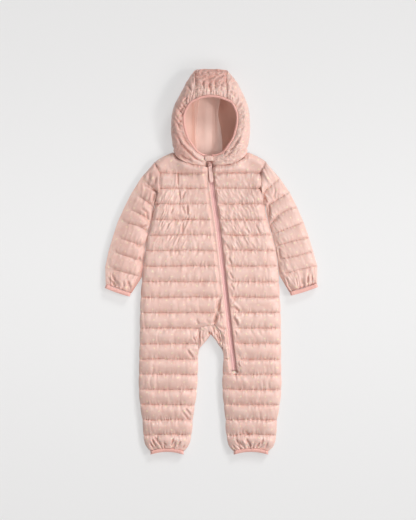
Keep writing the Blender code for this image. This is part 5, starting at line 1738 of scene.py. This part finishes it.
@dataclass
class Hood:
    """Hood of three padded panels round a face opening, with its lining and elastic binding."""

    lines_per_row: int = 13
    steps: int = 84
    columns: int = 76
    floor_rows: int = 34
    gather: float = 1.9
    gather_reach: float = 19.0
    seam_dip: float = 1.5
    loft: float = 0.2
    lining_seam_right: Table = (
        (345, -29), (334.5, -28.9), (290.4, -33.1), (227.4, -31), (214, -29),
    )
    lining_seam_left: Table = (
        (345, 18.6), (338.7, 18.2), (311.4, 13.6), (275.7, 19.4), (237.9, 22.6), (214, 21),
    )
    lining_tautness: float = 0.9
    side_cut: Triple = (0.085, 0.190, 0.0101)
    centre_cut: Triple = (0.066, 0.245, 0.0136)
    binding_cut: Pair = (0.011, 0.365)
    binding_out: float = 2.75
    binding_sink: float = 3.2
    binding_deep: float = 4.0
    binding_gather: float = 0.1
    binding_pitch: float = 1.7
    # Strengths of painted shade: over the lining's panels, over the crown and on the hood's side
    # away from the light.
    nap_shade: float = 0.6
    right_shade: float = 0.31
    crown_tone: float = 0.64
    side_tone: float = 0.42

    def side_grid(self) -> Array:
        """Outer grid of one side: lines from the rim round to their ends, crown seam to zip."""
        controls = np.reshape(HOOD_SIDE, (-1, 5, 3))
        keys = np.arange(len(controls), dtype=float)
        query = np.linspace(0, keys[-1], int(keys[-1]) * self.lines_per_row + 1)
        dense = hermite(keys, controls, query)
        dense[:, -1] = read_along(query, keys, controls[:, -1])
        grid = through(dense, self.steps)
        grid[0, :, 0] += SEAM_GAP
        grid[:, -1, 0] += SEAM_GAP * (grid[:, -1, 2] < 0.5)
        grid[:, :, 2] = np.maximum(grid[:, :, 2], 0)
        return grid

    def centre_grid(self) -> Array:
        """Outer grid of the centre panel: lines from the rim over the crown to the nape."""
        edge = through(np.reshape(HOOD_SIDE[0], (1, 5, 3)), self.steps)[0]
        middle = through(np.array([HOOD_MIDDLE]), self.steps)[0]
        floor_y = np.linspace(HOOD_SEAM_FLOOR[0][0], HOOD_SEAM_FLOOR[1][0], self.floor_rows + 1)[1:]
        zeros = np.zeros_like(floor_y)
        seam = np.stack([line(HOOD_SEAM_FLOOR, floor_y), floor_y, zeros], axis=1)
        edge = np.concatenate([edge, seam])
        middle = np.concatenate([middle, np.stack([zeros, floor_y, zeros], axis=1)])
        share = np.linspace(-1, 1, self.columns + 1)[:, None, None]
        grid = middle[None] + (edge - middle)[None] * share**2
        grid[..., 0] = (edge[None, :, 0] - SEAM_GAP / 2) * share[..., 0]
        grid[..., 2] = np.maximum(grid[..., 2], 0)
        return grid

    def panels(self) -> list[HoodPanel]:
        """The three panels, with how far round the rim each line lies."""
        side, centre = self.side_grid(), self.centre_grid()
        round_rim = HOOD_SIDE[0][0] + length_along(side[:, 0])
        return [
            HoodPanel("hood_right", side, Side.RIGHT, -round_rim, crown_seam=True),
            HoodPanel("hood_centre", centre, Side.LEFT, centre[:, 0, 0], passes=2),
            HoodPanel("hood_left", side, Side.LEFT, round_rim, crown_seam=True),
        ]

    def gathers(self, panel: HoodPanel) -> Array:
        """Gathers that run in from the rim and fade, stronger over the crown."""
        away = panel.from_rim
        rim = np.repeat(panel.rim[:, None], away.shape[1], axis=1)
        strong = 0.42 + 0.58 * smooth((20 - rim) / 30) * smooth((rim + 150) / 60)
        fan = rim * (1 + 0.1 * away / self.gather_reach) + 0.9 * noise(rim / 15, away / 12, 501)
        ripple = np.sqrt(np.abs(noise(fan / 3.6, away / 40, 503)) + 0.02) - 0.55
        reach = self.gather_reach * (1 + 0.35 * noise(rim / 9, rim * 0, 507))
        return self.gather * 2.4 * strong * ripple * np.exp(-((away / reach) ** 4))

    def lift(self, panel: HoodPanel) -> Array:
        """How far the padded cloth stands off a panel's form.

        Gathers run in from the rim and fade, seams dip, and soft folds and placed creases lie
        between.
        """
        placed = on_garment(panel.grid, panel.side)
        x, y, z = placed[..., 0], placed[..., 1], placed[..., 2]
        first, last = (np.abs(panel.grid - panel.grid[row]) for row in (0, -1))
        if panel.crown_seam:
            seam = first[..., 0] + first[..., 1]
            soft = Folds(64, 4.4, 12, 511).at(x, y) * 1.2
            soft += Folds(140, 4.6, 12, 517).at(x, z + y) * 1.1
        else:
            seam = np.minimum(first[..., 0], last[..., 0])
            soft = Folds(8, 4.2, 13, 513).at(x, y) * 1.6
            soft += Folds(50, 4, 9, 519).at(x, y) * 0.9
        away = panel.from_rim
        inside = np.minimum(away, away[:, -1:] - away)
        puffed = self.loft * smooth(inside / 16) * smooth(seam / 10)
        soft = soft * (1 + 0.6 * smooth((y - 350) / 20))
        broad = noise(x / 26 + 3, y / 22, 521) * 0.8
        height = self.gathers(panel) + puffed + (soft + broad) * smooth(inside / 8)
        height -= self.seam_dip * bell(seam, 2.6)
        above = smooth((z - 14) / 10)
        for crease in HOOD_CREASES[panel.node]:
            height += 0.8 * crease.at(x, y) * above
        flat = np.abs(panel.normals[..., 2])
        return height * smooth((z - 0.5) / 4) * (0.25 + 0.75 * smooth(flat / 0.6))

    def seams(self, panel: HoodPanel, outer: Array) -> list[Array]:
        """Topstitching of one panel: beside the rim, the crown seams and the neck seam."""
        if not panel.crown_seam:
            return [outer[:, 2]]
        clear = int(np.argmax(outer[:, :, 2].min(axis=0) < 4)) or outer.shape[1]
        neck = panel.grid[:, -1, 2] > 12
        return [outer[:, 2], outer[3, 1 : min(clear, self.steps - 24)], outer[neck][:-4, -3]]

    def build(self, finishes: Finishes, stitching: Stitching) -> None:
        """Builds and dresses the panels, the lining and the binding."""
        panels = self.panels()
        for panel in panels:
            lift = self.lift(panel)
            surface = panel.wall(lift, HOOD_WALL)
            outer = surface.points[: lift.size].reshape(*lift.shape, 3)
            stitching.routes += self.seams(panel, outer)
            # Painted shade: in the troughs of the padding's folds, over the crown, most on the
            # centre panel, and on the wearer's right side, which faces away from the light.
            placed = on_garment(panel.grid, panel.side)
            centre = 0.35 + 0.65 * (panel.node == "hood_centre")
            crown = self.crown_tone * smooth((placed[..., 1] - 356) / 18) * centre
            low_side = self.side_tone * smooth((-30 - placed[..., 0]) / 30)
            deep = 0.16 * np.maximum(0.1 - lift, 0) + crown + low_side
            surface.hollow = np.tile(np.clip(deep, 0, 0.8).reshape(-1), 2)
            name = f"{panel.node}_padded"
            piece = make_piece(name, surface, finishes.shell, (panel.node,))
        for panel in panels:
            self.build_lining(panel, finishes)
        self.build_binding(panels, finishes)

    def lining_grid(self, panel: HoodPanel) -> Array:
        """Lining of one panel, taut from the rim to the seams on the floor of the hollow."""
        inner = panel.grid - panel.normals * (HOOD_WALL + LINING_GAP)
        seams = (self.lining_seam_right, self.lining_seam_left)
        if not panel.crown_seam:
            right, left = (spline(table, inner[:, :, 1]) - HOOD_AXIS_X for table in seams)
            aimed = right + (left - right) * np.linspace(0, 1, len(inner))[:, None]
            low = smooth((30 - inner[..., 2]) / 22)
            inner[..., 0] = inner[..., 0] + (aimed - inner[..., 0]) * low
            return inner
        end = inner[:, -1].copy()
        seam = spline(seams[panel.side.column - 1], end[:, 1]) - HOOD_AXIS_X
        on_floor = smooth((14 - end[:, 2]) / 4) * smooth((40 - end[:, 0]) / 8)
        end[:, 0] += (seam * panel.side.value + SEAM_GAP / 2 - end[:, 0]) * on_floor
        share = np.linspace(0, 1, inner.shape[1])[None, :, None]
        chord = between(inner[:, 0], end, share)
        taut = self.lining_tautness * on_floor[:, None, None] * smooth(share / 0.06)
        slack = (end - inner[:, -1])[:, None] * share**2
        return (inner + slack) * (1 - taut) + chord * taut

    def build_lining(self, panel: HoodPanel, finishes: Finishes) -> None:
        """Builds the lining of one panel, with its soft folds on the floor of the hollow and its
        painted shade.
        """
        inner = self.lining_grid(panel)
        x, y, z = np.moveaxis(on_garment(inner, panel.side), -1, 0)
        soft = 0.35 * Folds(85, 12, 45, 541).at(inner[..., 0], inner[..., 1])
        for crease in LINING_CREASES:
            soft += crease.at(x, y) * smooth((26 - z) / 10)
        inner[..., 2] += np.maximum(soft, -1.5) * smooth((inner[..., 2] - 1) / 3)
        node = panel.node.replace("hood", "lining")
        lining = HoodPanel(node, inner, panel.side, panel.rim, passes=3)
        lining.raised = panel.raised
        surface = lining.wall(np.zeros(x.shape), LINING_WALL)
        # Painted shade: all of the wearer's left panel, which lies in the rim's shadow; on the
        # others, a line beside the wearer's right seam, a soft band near the middle, and more over
        # the wearer's right panel.
        if panel.node == "hood_left":
            shaded = np.full(x.shape, self.nap_shade)
        else:
            shaded = 0.24 * bell(x + 40.5, 3) + 0.20 * bell(x - 3, 6)
            shaded += self.right_shade * (panel.node == "hood_right")
        surface.hollow = np.tile(shaded.reshape(-1), 2)
        piece = make_piece(f"{node}_cloth", surface, finishes.lining, (node,))

    def build_binding(self, panels: list[HoodPanel], finishes: Finishes) -> None:
        """Builds the binding: a rounded section carried round the rim, drawn into small gathers."""
        turn = np.linspace(0, 2 * math.pi, 19)[:-1]
        round_x, round_y = (np.sign(a) * np.abs(a) ** 0.8 for a in (np.cos(turn), np.sin(turn)))
        sections = []
        for panel, rows in zip(panels, (slice(None, 0, -1), slice(None), slice(1, None))):
            rim, normal = panel.grid[rows, 0], panel.normals[rows, 0]
            along = rim - panel.grid[rows, 1]
            along = unit(along - normal * np.sum(along * normal, axis=1, keepdims=True))
            place = panel.rim[rows]
            ripple = noise(place / self.binding_pitch, place * 0, 551)[:, None]
            swell = 1 + self.binding_gather * ripple
            out = self.binding_out + self.binding_out * swell * round_x
            deep = self.binding_sink + self.binding_deep * swell * round_y
            outward, down = along[:, None] * out[..., None], normal[:, None] * deep[..., None]
            sections.append(on_garment(rim[:, None] + outward - down, panel.side))
        rings = np.concatenate(sections)
        for _ in range(3):
            rings[1:-1] = (rings[:-2] + 2 * rings[1:-1] + rings[2:]) / 4
        rows, around = rings.shape[:2]
        cloth = np.dstack([length_along(rings), np.tile(np.arange(around) * 1.1, (rows, 1))])
        faces = np.concatenate([grid_faces(rows, around, wrap=True), end_caps(rows, around)])
        surface = Surface(rings.reshape(-1, 3), faces, cloth.reshape(-1, 2)).outward()
        name = "face_binding"
        piece = make_piece(f"{name}_elastic", surface, finishes.binding, (name,))


def end_caps(rows: int, around: int) -> Array:
    """Quads that close both ends of a tube with an even number of points round it."""
    half = np.arange(around // 2 - 1)
    start = np.stack([half, half + 1, around - 2 - half, around - 1 - half], axis=1)
    return np.concatenate([start[:, ::-1], start + (rows - 1) * around])


# Zip


def tape_half_width(y: Array) -> Array:
    """Half width of the tape, narrower under the slider."""
    return np.where(y >= TAPE_NARROW_Y, TAPE_NARROW_WIDTH, TAPE_HALF_WIDTH)


def tape_rise(y: Array) -> Array:
    """How far the tape climbs to the chin above its flat run."""
    return TAPE_RAMP_RISE * np.clip((y - TAPE_RAMP_Y) / (ZIP_TOP_Y - TAPE_RAMP_Y), 0, 1)


def pad(size: Pair, loft: float, corner: float, lines: int) -> tuple[Array, Array, Array]:
    """Rounded rectangle in plan, and how far its upper side swells over each point.

    A square grid is drawn in at its corners, and the swell is a quarter circle in from the edge.

    Args:
        size: Width and length.
        loft: Height of the swell.
        corner: Share by which corners are drawn in.
        lines: Cells along each side.

    Returns:
        The plan as rows by columns by x and y, the swell, and the distance in from the edge.
    """
    width, length = size
    across, along = np.meshgrid(*[np.linspace(-1, 1, lines + 1)] * 2)
    drawn = 1 - corner * (across * along) ** 4
    plan = np.dstack([across * width / 2, along * length / 2]) * drawn[..., None]
    sides = ((1 - np.abs(across)) * width / 2, (1 - np.abs(along)) * length / 2)
    from_edge = np.minimum(*sides)
    return plan, loft * dome(from_edge, min(width, 3.2) / 2), from_edge


@dataclass
class Zip:
    """Coil zip: two halves of tape, teeth, slider, pull tab and the cover over its top end."""

    rows: int = 220
    columns: int = 8
    tape_cut: Triple = (0.010, 0.452, 0.0024)
    pitch: float = 1.7
    tooth: Triple = (1.75, 1.0, 0.9)
    coil_start: float = 3.0
    coil_stop: float = 6.0
    coil_out: float = 0.62
    coil_sink: float = 1.1
    tape_sink: float = 0.35
    tape_lift: float = 0.8
    cover_size: Triple = (17.0, 11.0, 2.6)
    cover_centre: Triple = (-5.6, 215.4, 28.65)
    cover_slope: float = 6.0
    cover_drop: float = 4.2
    cover_mesh: tuple[float, int] = (0.10, 26)
    grip_size: Triple = (8.8, 34.0, 1.4)
    grip_middle: float = -22.3
    grip_mesh: tuple[float, int] = (0.14, 44)
    rib_height: float = 0.25
    rib_pitch: float = 1.8

    def on_slider(self, points: Array) -> Array:
        """Points given about the slider's middle, turned along the zip and moved there."""
        turn = math.atan2(float(zip_x(SLIDER_Y - 5) - zip_x(SLIDER_Y + 5)), 10)
        x = points[..., 0] * math.cos(turn) - points[..., 1] * math.sin(turn)
        y = points[..., 0] * math.sin(turn) + points[..., 1] * math.cos(turn)
        return np.stack([x + float(zip_x(SLIDER_Y)), y + SLIDER_Y, points[..., 2]], axis=-1)

    def build_tapes(self, finishes: Finishes) -> None:
        """Builds each half of the tape: flat, with a rolled inner edge beside the teeth."""
        y = np.linspace(ZIP_TOP_Y, ZIP_BOTTOM_Y, self.rows + 1)
        share = np.linspace(0, 1, self.columns + 1)
        inner, rise = SEAM_GAP / 2, tape_rise(y)[:, None]
        away = inner + (tape_half_width(y)[:, None] - inner) * share
        roll = 0.35 * bell(away - 2.3, 0.8) - 0.5 * bell(away - inner, 0.8)
        top = TAPE_TOP + rise + roll - self.tape_sink
        low = TAPE_UNDER + self.tape_lift + rise + 0 * away
        for side in Side:
            plan = level_rows(zip_x(y)[:, None] + side.value * away, y)
            surface = grid_shell(plan, np.dstack([plan, top]), np.dstack([plan, low]))
            node = f"zip_tape_{side.word}"
            piece = make_piece(f"{node}_woven", surface, finishes.tape, (node,))

    def build_teeth(self, finishes: Finishes) -> None:
        """Builds the coil: one small tooth a pitch on each half, staggered by half a pitch."""
        low = ZIP_BOTTOM_Y + self.coil_start
        count = int((SLIDER_Y - self.coil_stop - low) / self.pitch)
        tooth = block(self.tooth)
        points = []
        for side, stagger in ((Side.RIGHT, 0), (Side.LEFT, 0.5)):
            y = low + (np.arange(count) + stagger) * self.pitch
            x = zip_x(y) + side.value * self.coil_out
            z = np.full(count, TAPE_TOP - self.coil_sink)
            points.append(np.stack([x, y, z], axis=1)[:, None] + tooth)
        points = np.concatenate(points).reshape(-1, 3)
        surface = Surface(points, block_faces(2 * count), points[:, :2]).outward()
        make_piece("zip_coil_teeth", surface, finishes.tape)

    def build_cover(self, finishes: Finishes) -> None:
        """Builds the padded cover over the zip's top end, stitched round, on the chin's slope."""
        width, length, thick = self.cover_size
        plan, swell, from_edge = pad((width, length), thick * 0.9, *self.cover_mesh)
        x, y = plan[..., 0], plan[..., 1]
        swell = swell - 0.5 * bell(from_edge - 2.2, 0.6) + 0.35 * smooth((from_edge - 2.8) / 1.6)
        swell += 0.12 * Folds(80, 3.2, 6, 611).at(x, y)
        slope = math.tan(math.radians(self.cover_slope))
        base = self.cover_centre[2] - thick / 2 + y * slope
        low = base - self.cover_drop * smooth(-y / (length / 2))
        placed = plan + np.array(self.cover_centre[:2])
        upper, lower = np.dstack([placed, base + 0.35 + swell]), np.dstack([placed, low])
        surface = grid_shell(plan, upper, lower)
        name, node = "zip_cover_padded", "zip_garage"
        piece = make_piece(name, surface, finishes.shell, (node,))

    def build_grip(self, finishes: Finishes) -> None:
        """Builds the moulded grip on the pull tab: a long rounded pad, ribbed near its free end."""
        width, length, thick = self.grip_size
        plan, swell, from_edge = pad((width, length), thick, *self.grip_mesh)
        y = plan[..., 1]
        ribs = smooth((from_edge - 1.2) / 0.6) * (y < -length * 0.12) * (y > -length * 0.4)
        swell = swell + self.rib_height * ribs * np.cos(2 * math.pi * y / self.rib_pitch)
        base = HINGE_HEIGHT + TAB_THICKNESS / 2 + 0.05
        placed = plan + np.array((0, self.grip_middle))
        heights = (base + 0.2 + swell, base + 0 * swell)
        upper, lower = (self.on_slider(np.dstack([placed, height])) for height in heights)
        surface = grid_shell(plan, upper, lower)
        make_piece("pull_grip_moulded", surface, finishes.grip, body=PULL_BODY)

    def build(self, finishes: Finishes) -> None:
        """Builds and dresses the zip."""
        self.build_tapes(finishes)
        self.build_teeth(finishes)
        self.build_cover(finishes)
        self.build_grip(finishes)
        nodes = {held.name: held for held in bpy.data.objects}
        for name in ("zip_slider", "pull_tab"):
            for slot in nodes[name].material_slots:
                slot.material = finishes.metal


# Studio

WHITE = (1.0, 1.0, 1.0)
WARM = (1.0, 0.9, 0.86)


@dataclass(frozen=True)
class SoftBox:
    """A rectangular soft light that faces a point on the floor. Places are in metres."""

    name: str
    place: Triple
    target: Triple
    size: Pair
    power: float

    def build(self) -> None:
        """Makes the light and turns it to its target, its first side kept level."""
        lamp = bpy.data.lights.new(self.name, "AREA")
        lamp.shape = "RECTANGLE"
        lamp.size, lamp.size_y = self.size
        lamp.energy = self.power
        held = link_object(self.name, lamp)
        held.visible_camera = False
        held.location = self.place
        back = (Vector(self.place) - Vector(self.target)).normalized()
        level = Vector((0, 1, 0)).cross(back).normalized()
        held.rotation_euler = Matrix((level, back.cross(level), back)).transposed().to_euler()


@dataclass(frozen=True)
class FarLight:
    """A far soft light, by its bearing from the X axis, its height and its width, in degrees."""

    name: str
    bearing: float
    height: float
    width: float
    strength: float
    colour: Triple = WHITE

    def build(self) -> None:
        """Makes the light and turns it down to the garment."""
        lamp = bpy.data.lights.new(self.name, "SUN")
        lamp.energy = self.strength
        lamp.color = self.colour
        lamp.angle = math.radians(self.width)
        turn = (0, math.radians(90 - self.height), math.radians(self.bearing))
        link_object(self.name, lamp).rotation_euler = turn


@dataclass
class Studio:
    """Pale floor, soft lights and a camera that looks straight down. Sizes are in metres."""

    view_height: float = 1.092
    garment_height: float = 0.012
    centre: Pair = (-0.0079, 0.0027)
    lens: float = 120.0
    sensor: float = 36.0
    floor_steps: int = 64
    floor_profile: Table = ((2, 0), (10, 0), (12, 0.15), (13.5, 0.7), (14.6, 1.8), (15, 4.5))
    floor_colour: Triple = (0.34, 0.34, 0.34)
    floor_glow: float = 0.505
    sky: float = 0.04
    lights: tuple[SoftBox | FarLight, ...] = (
        FarLight("upper_side", 60.0, 36.0, 18.0, 1.5),
        FarLight("lower_side", -60.0, 40.0, 25.0, 0.48, WARM),
        FarLight("low_side", -30.0, 40.0, 25.0, 0.36, WARM),
        SoftBox("side", (3.6, -0.015, 3.6), (0.0, -0.015, 0.0), (0.9, 0.9), 82.0),
        SoftBox("overhead", (0.1, -0.015, 0.6), (0.1, -0.015, 0.0), (2.4, 0.2), 3.0),
    )

    def build(self) -> None:
        """Makes the floor, the lights and the camera."""
        scene = bpy.context.scene
        scene.view_settings.view_transform = "Standard"
        mesh = bpy.data.meshes.new("floor")
        turn = np.linspace(0, 2 * math.pi, self.floor_steps + 1)[:-1]
        radius, height = np.array(self.floor_profile).T[..., None]
        rings = np.dstack([radius * np.cos(turn), radius * np.sin(turn), height + 0 * turn])
        rings[..., 2] -= SEAM_GAP * MM
        faces = grid_faces(len(rings), self.floor_steps, wrap=True)[:, ::-1].tolist()
        middle = [list(range(self.floor_steps))]
        mesh.from_pydata(rings.reshape(-1, 3).tolist(), [], middle + faces)
        paint = Nodes("floor_paint").finish(
            Base_Color=rgba(self.floor_colour),
            Roughness=1,
            Specular_IOR_Level=0,
            Emission_Color=rgba(WHITE),
            Emission_Strength=self.floor_glow,
        )
        mesh.materials.append(paint)
        link_object("floor", mesh)
        for light in self.lights:
            light.build()
        scene.world = bpy.data.worlds.new("studio")
        scene.world.use_nodes = True
        backdrop = scene.world.node_tree.nodes["Background"]
        backdrop.inputs[0].default_value = rgba(WHITE)
        backdrop.inputs[1].default_value = self.sky
        data = bpy.data.cameras.new("camera")
        data.lens = self.lens
        data.sensor_width = self.sensor
        data.clip_end = 100
        scene.camera = link_object("camera", data)
        far = self.view_height * self.lens / self.sensor + self.garment_height
        scene.camera.location = (*self.centre, far)


def main() -> None:
    """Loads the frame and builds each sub-assembly in order."""
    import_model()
    finishes = Finishes()
    Studio().build()
    stitching = Stitching()
    Backs().build(finishes)
    Fronts().build(finishes, stitching)
    Gusset().build(finishes)
    Sleeves().build(finishes, stitching)
    build_hem_bindings(finishes)
    Hood().build(finishes, stitching)
    Zip().build(finishes)
    stitching.build(finishes)


if __name__ == "__main__":
    main()
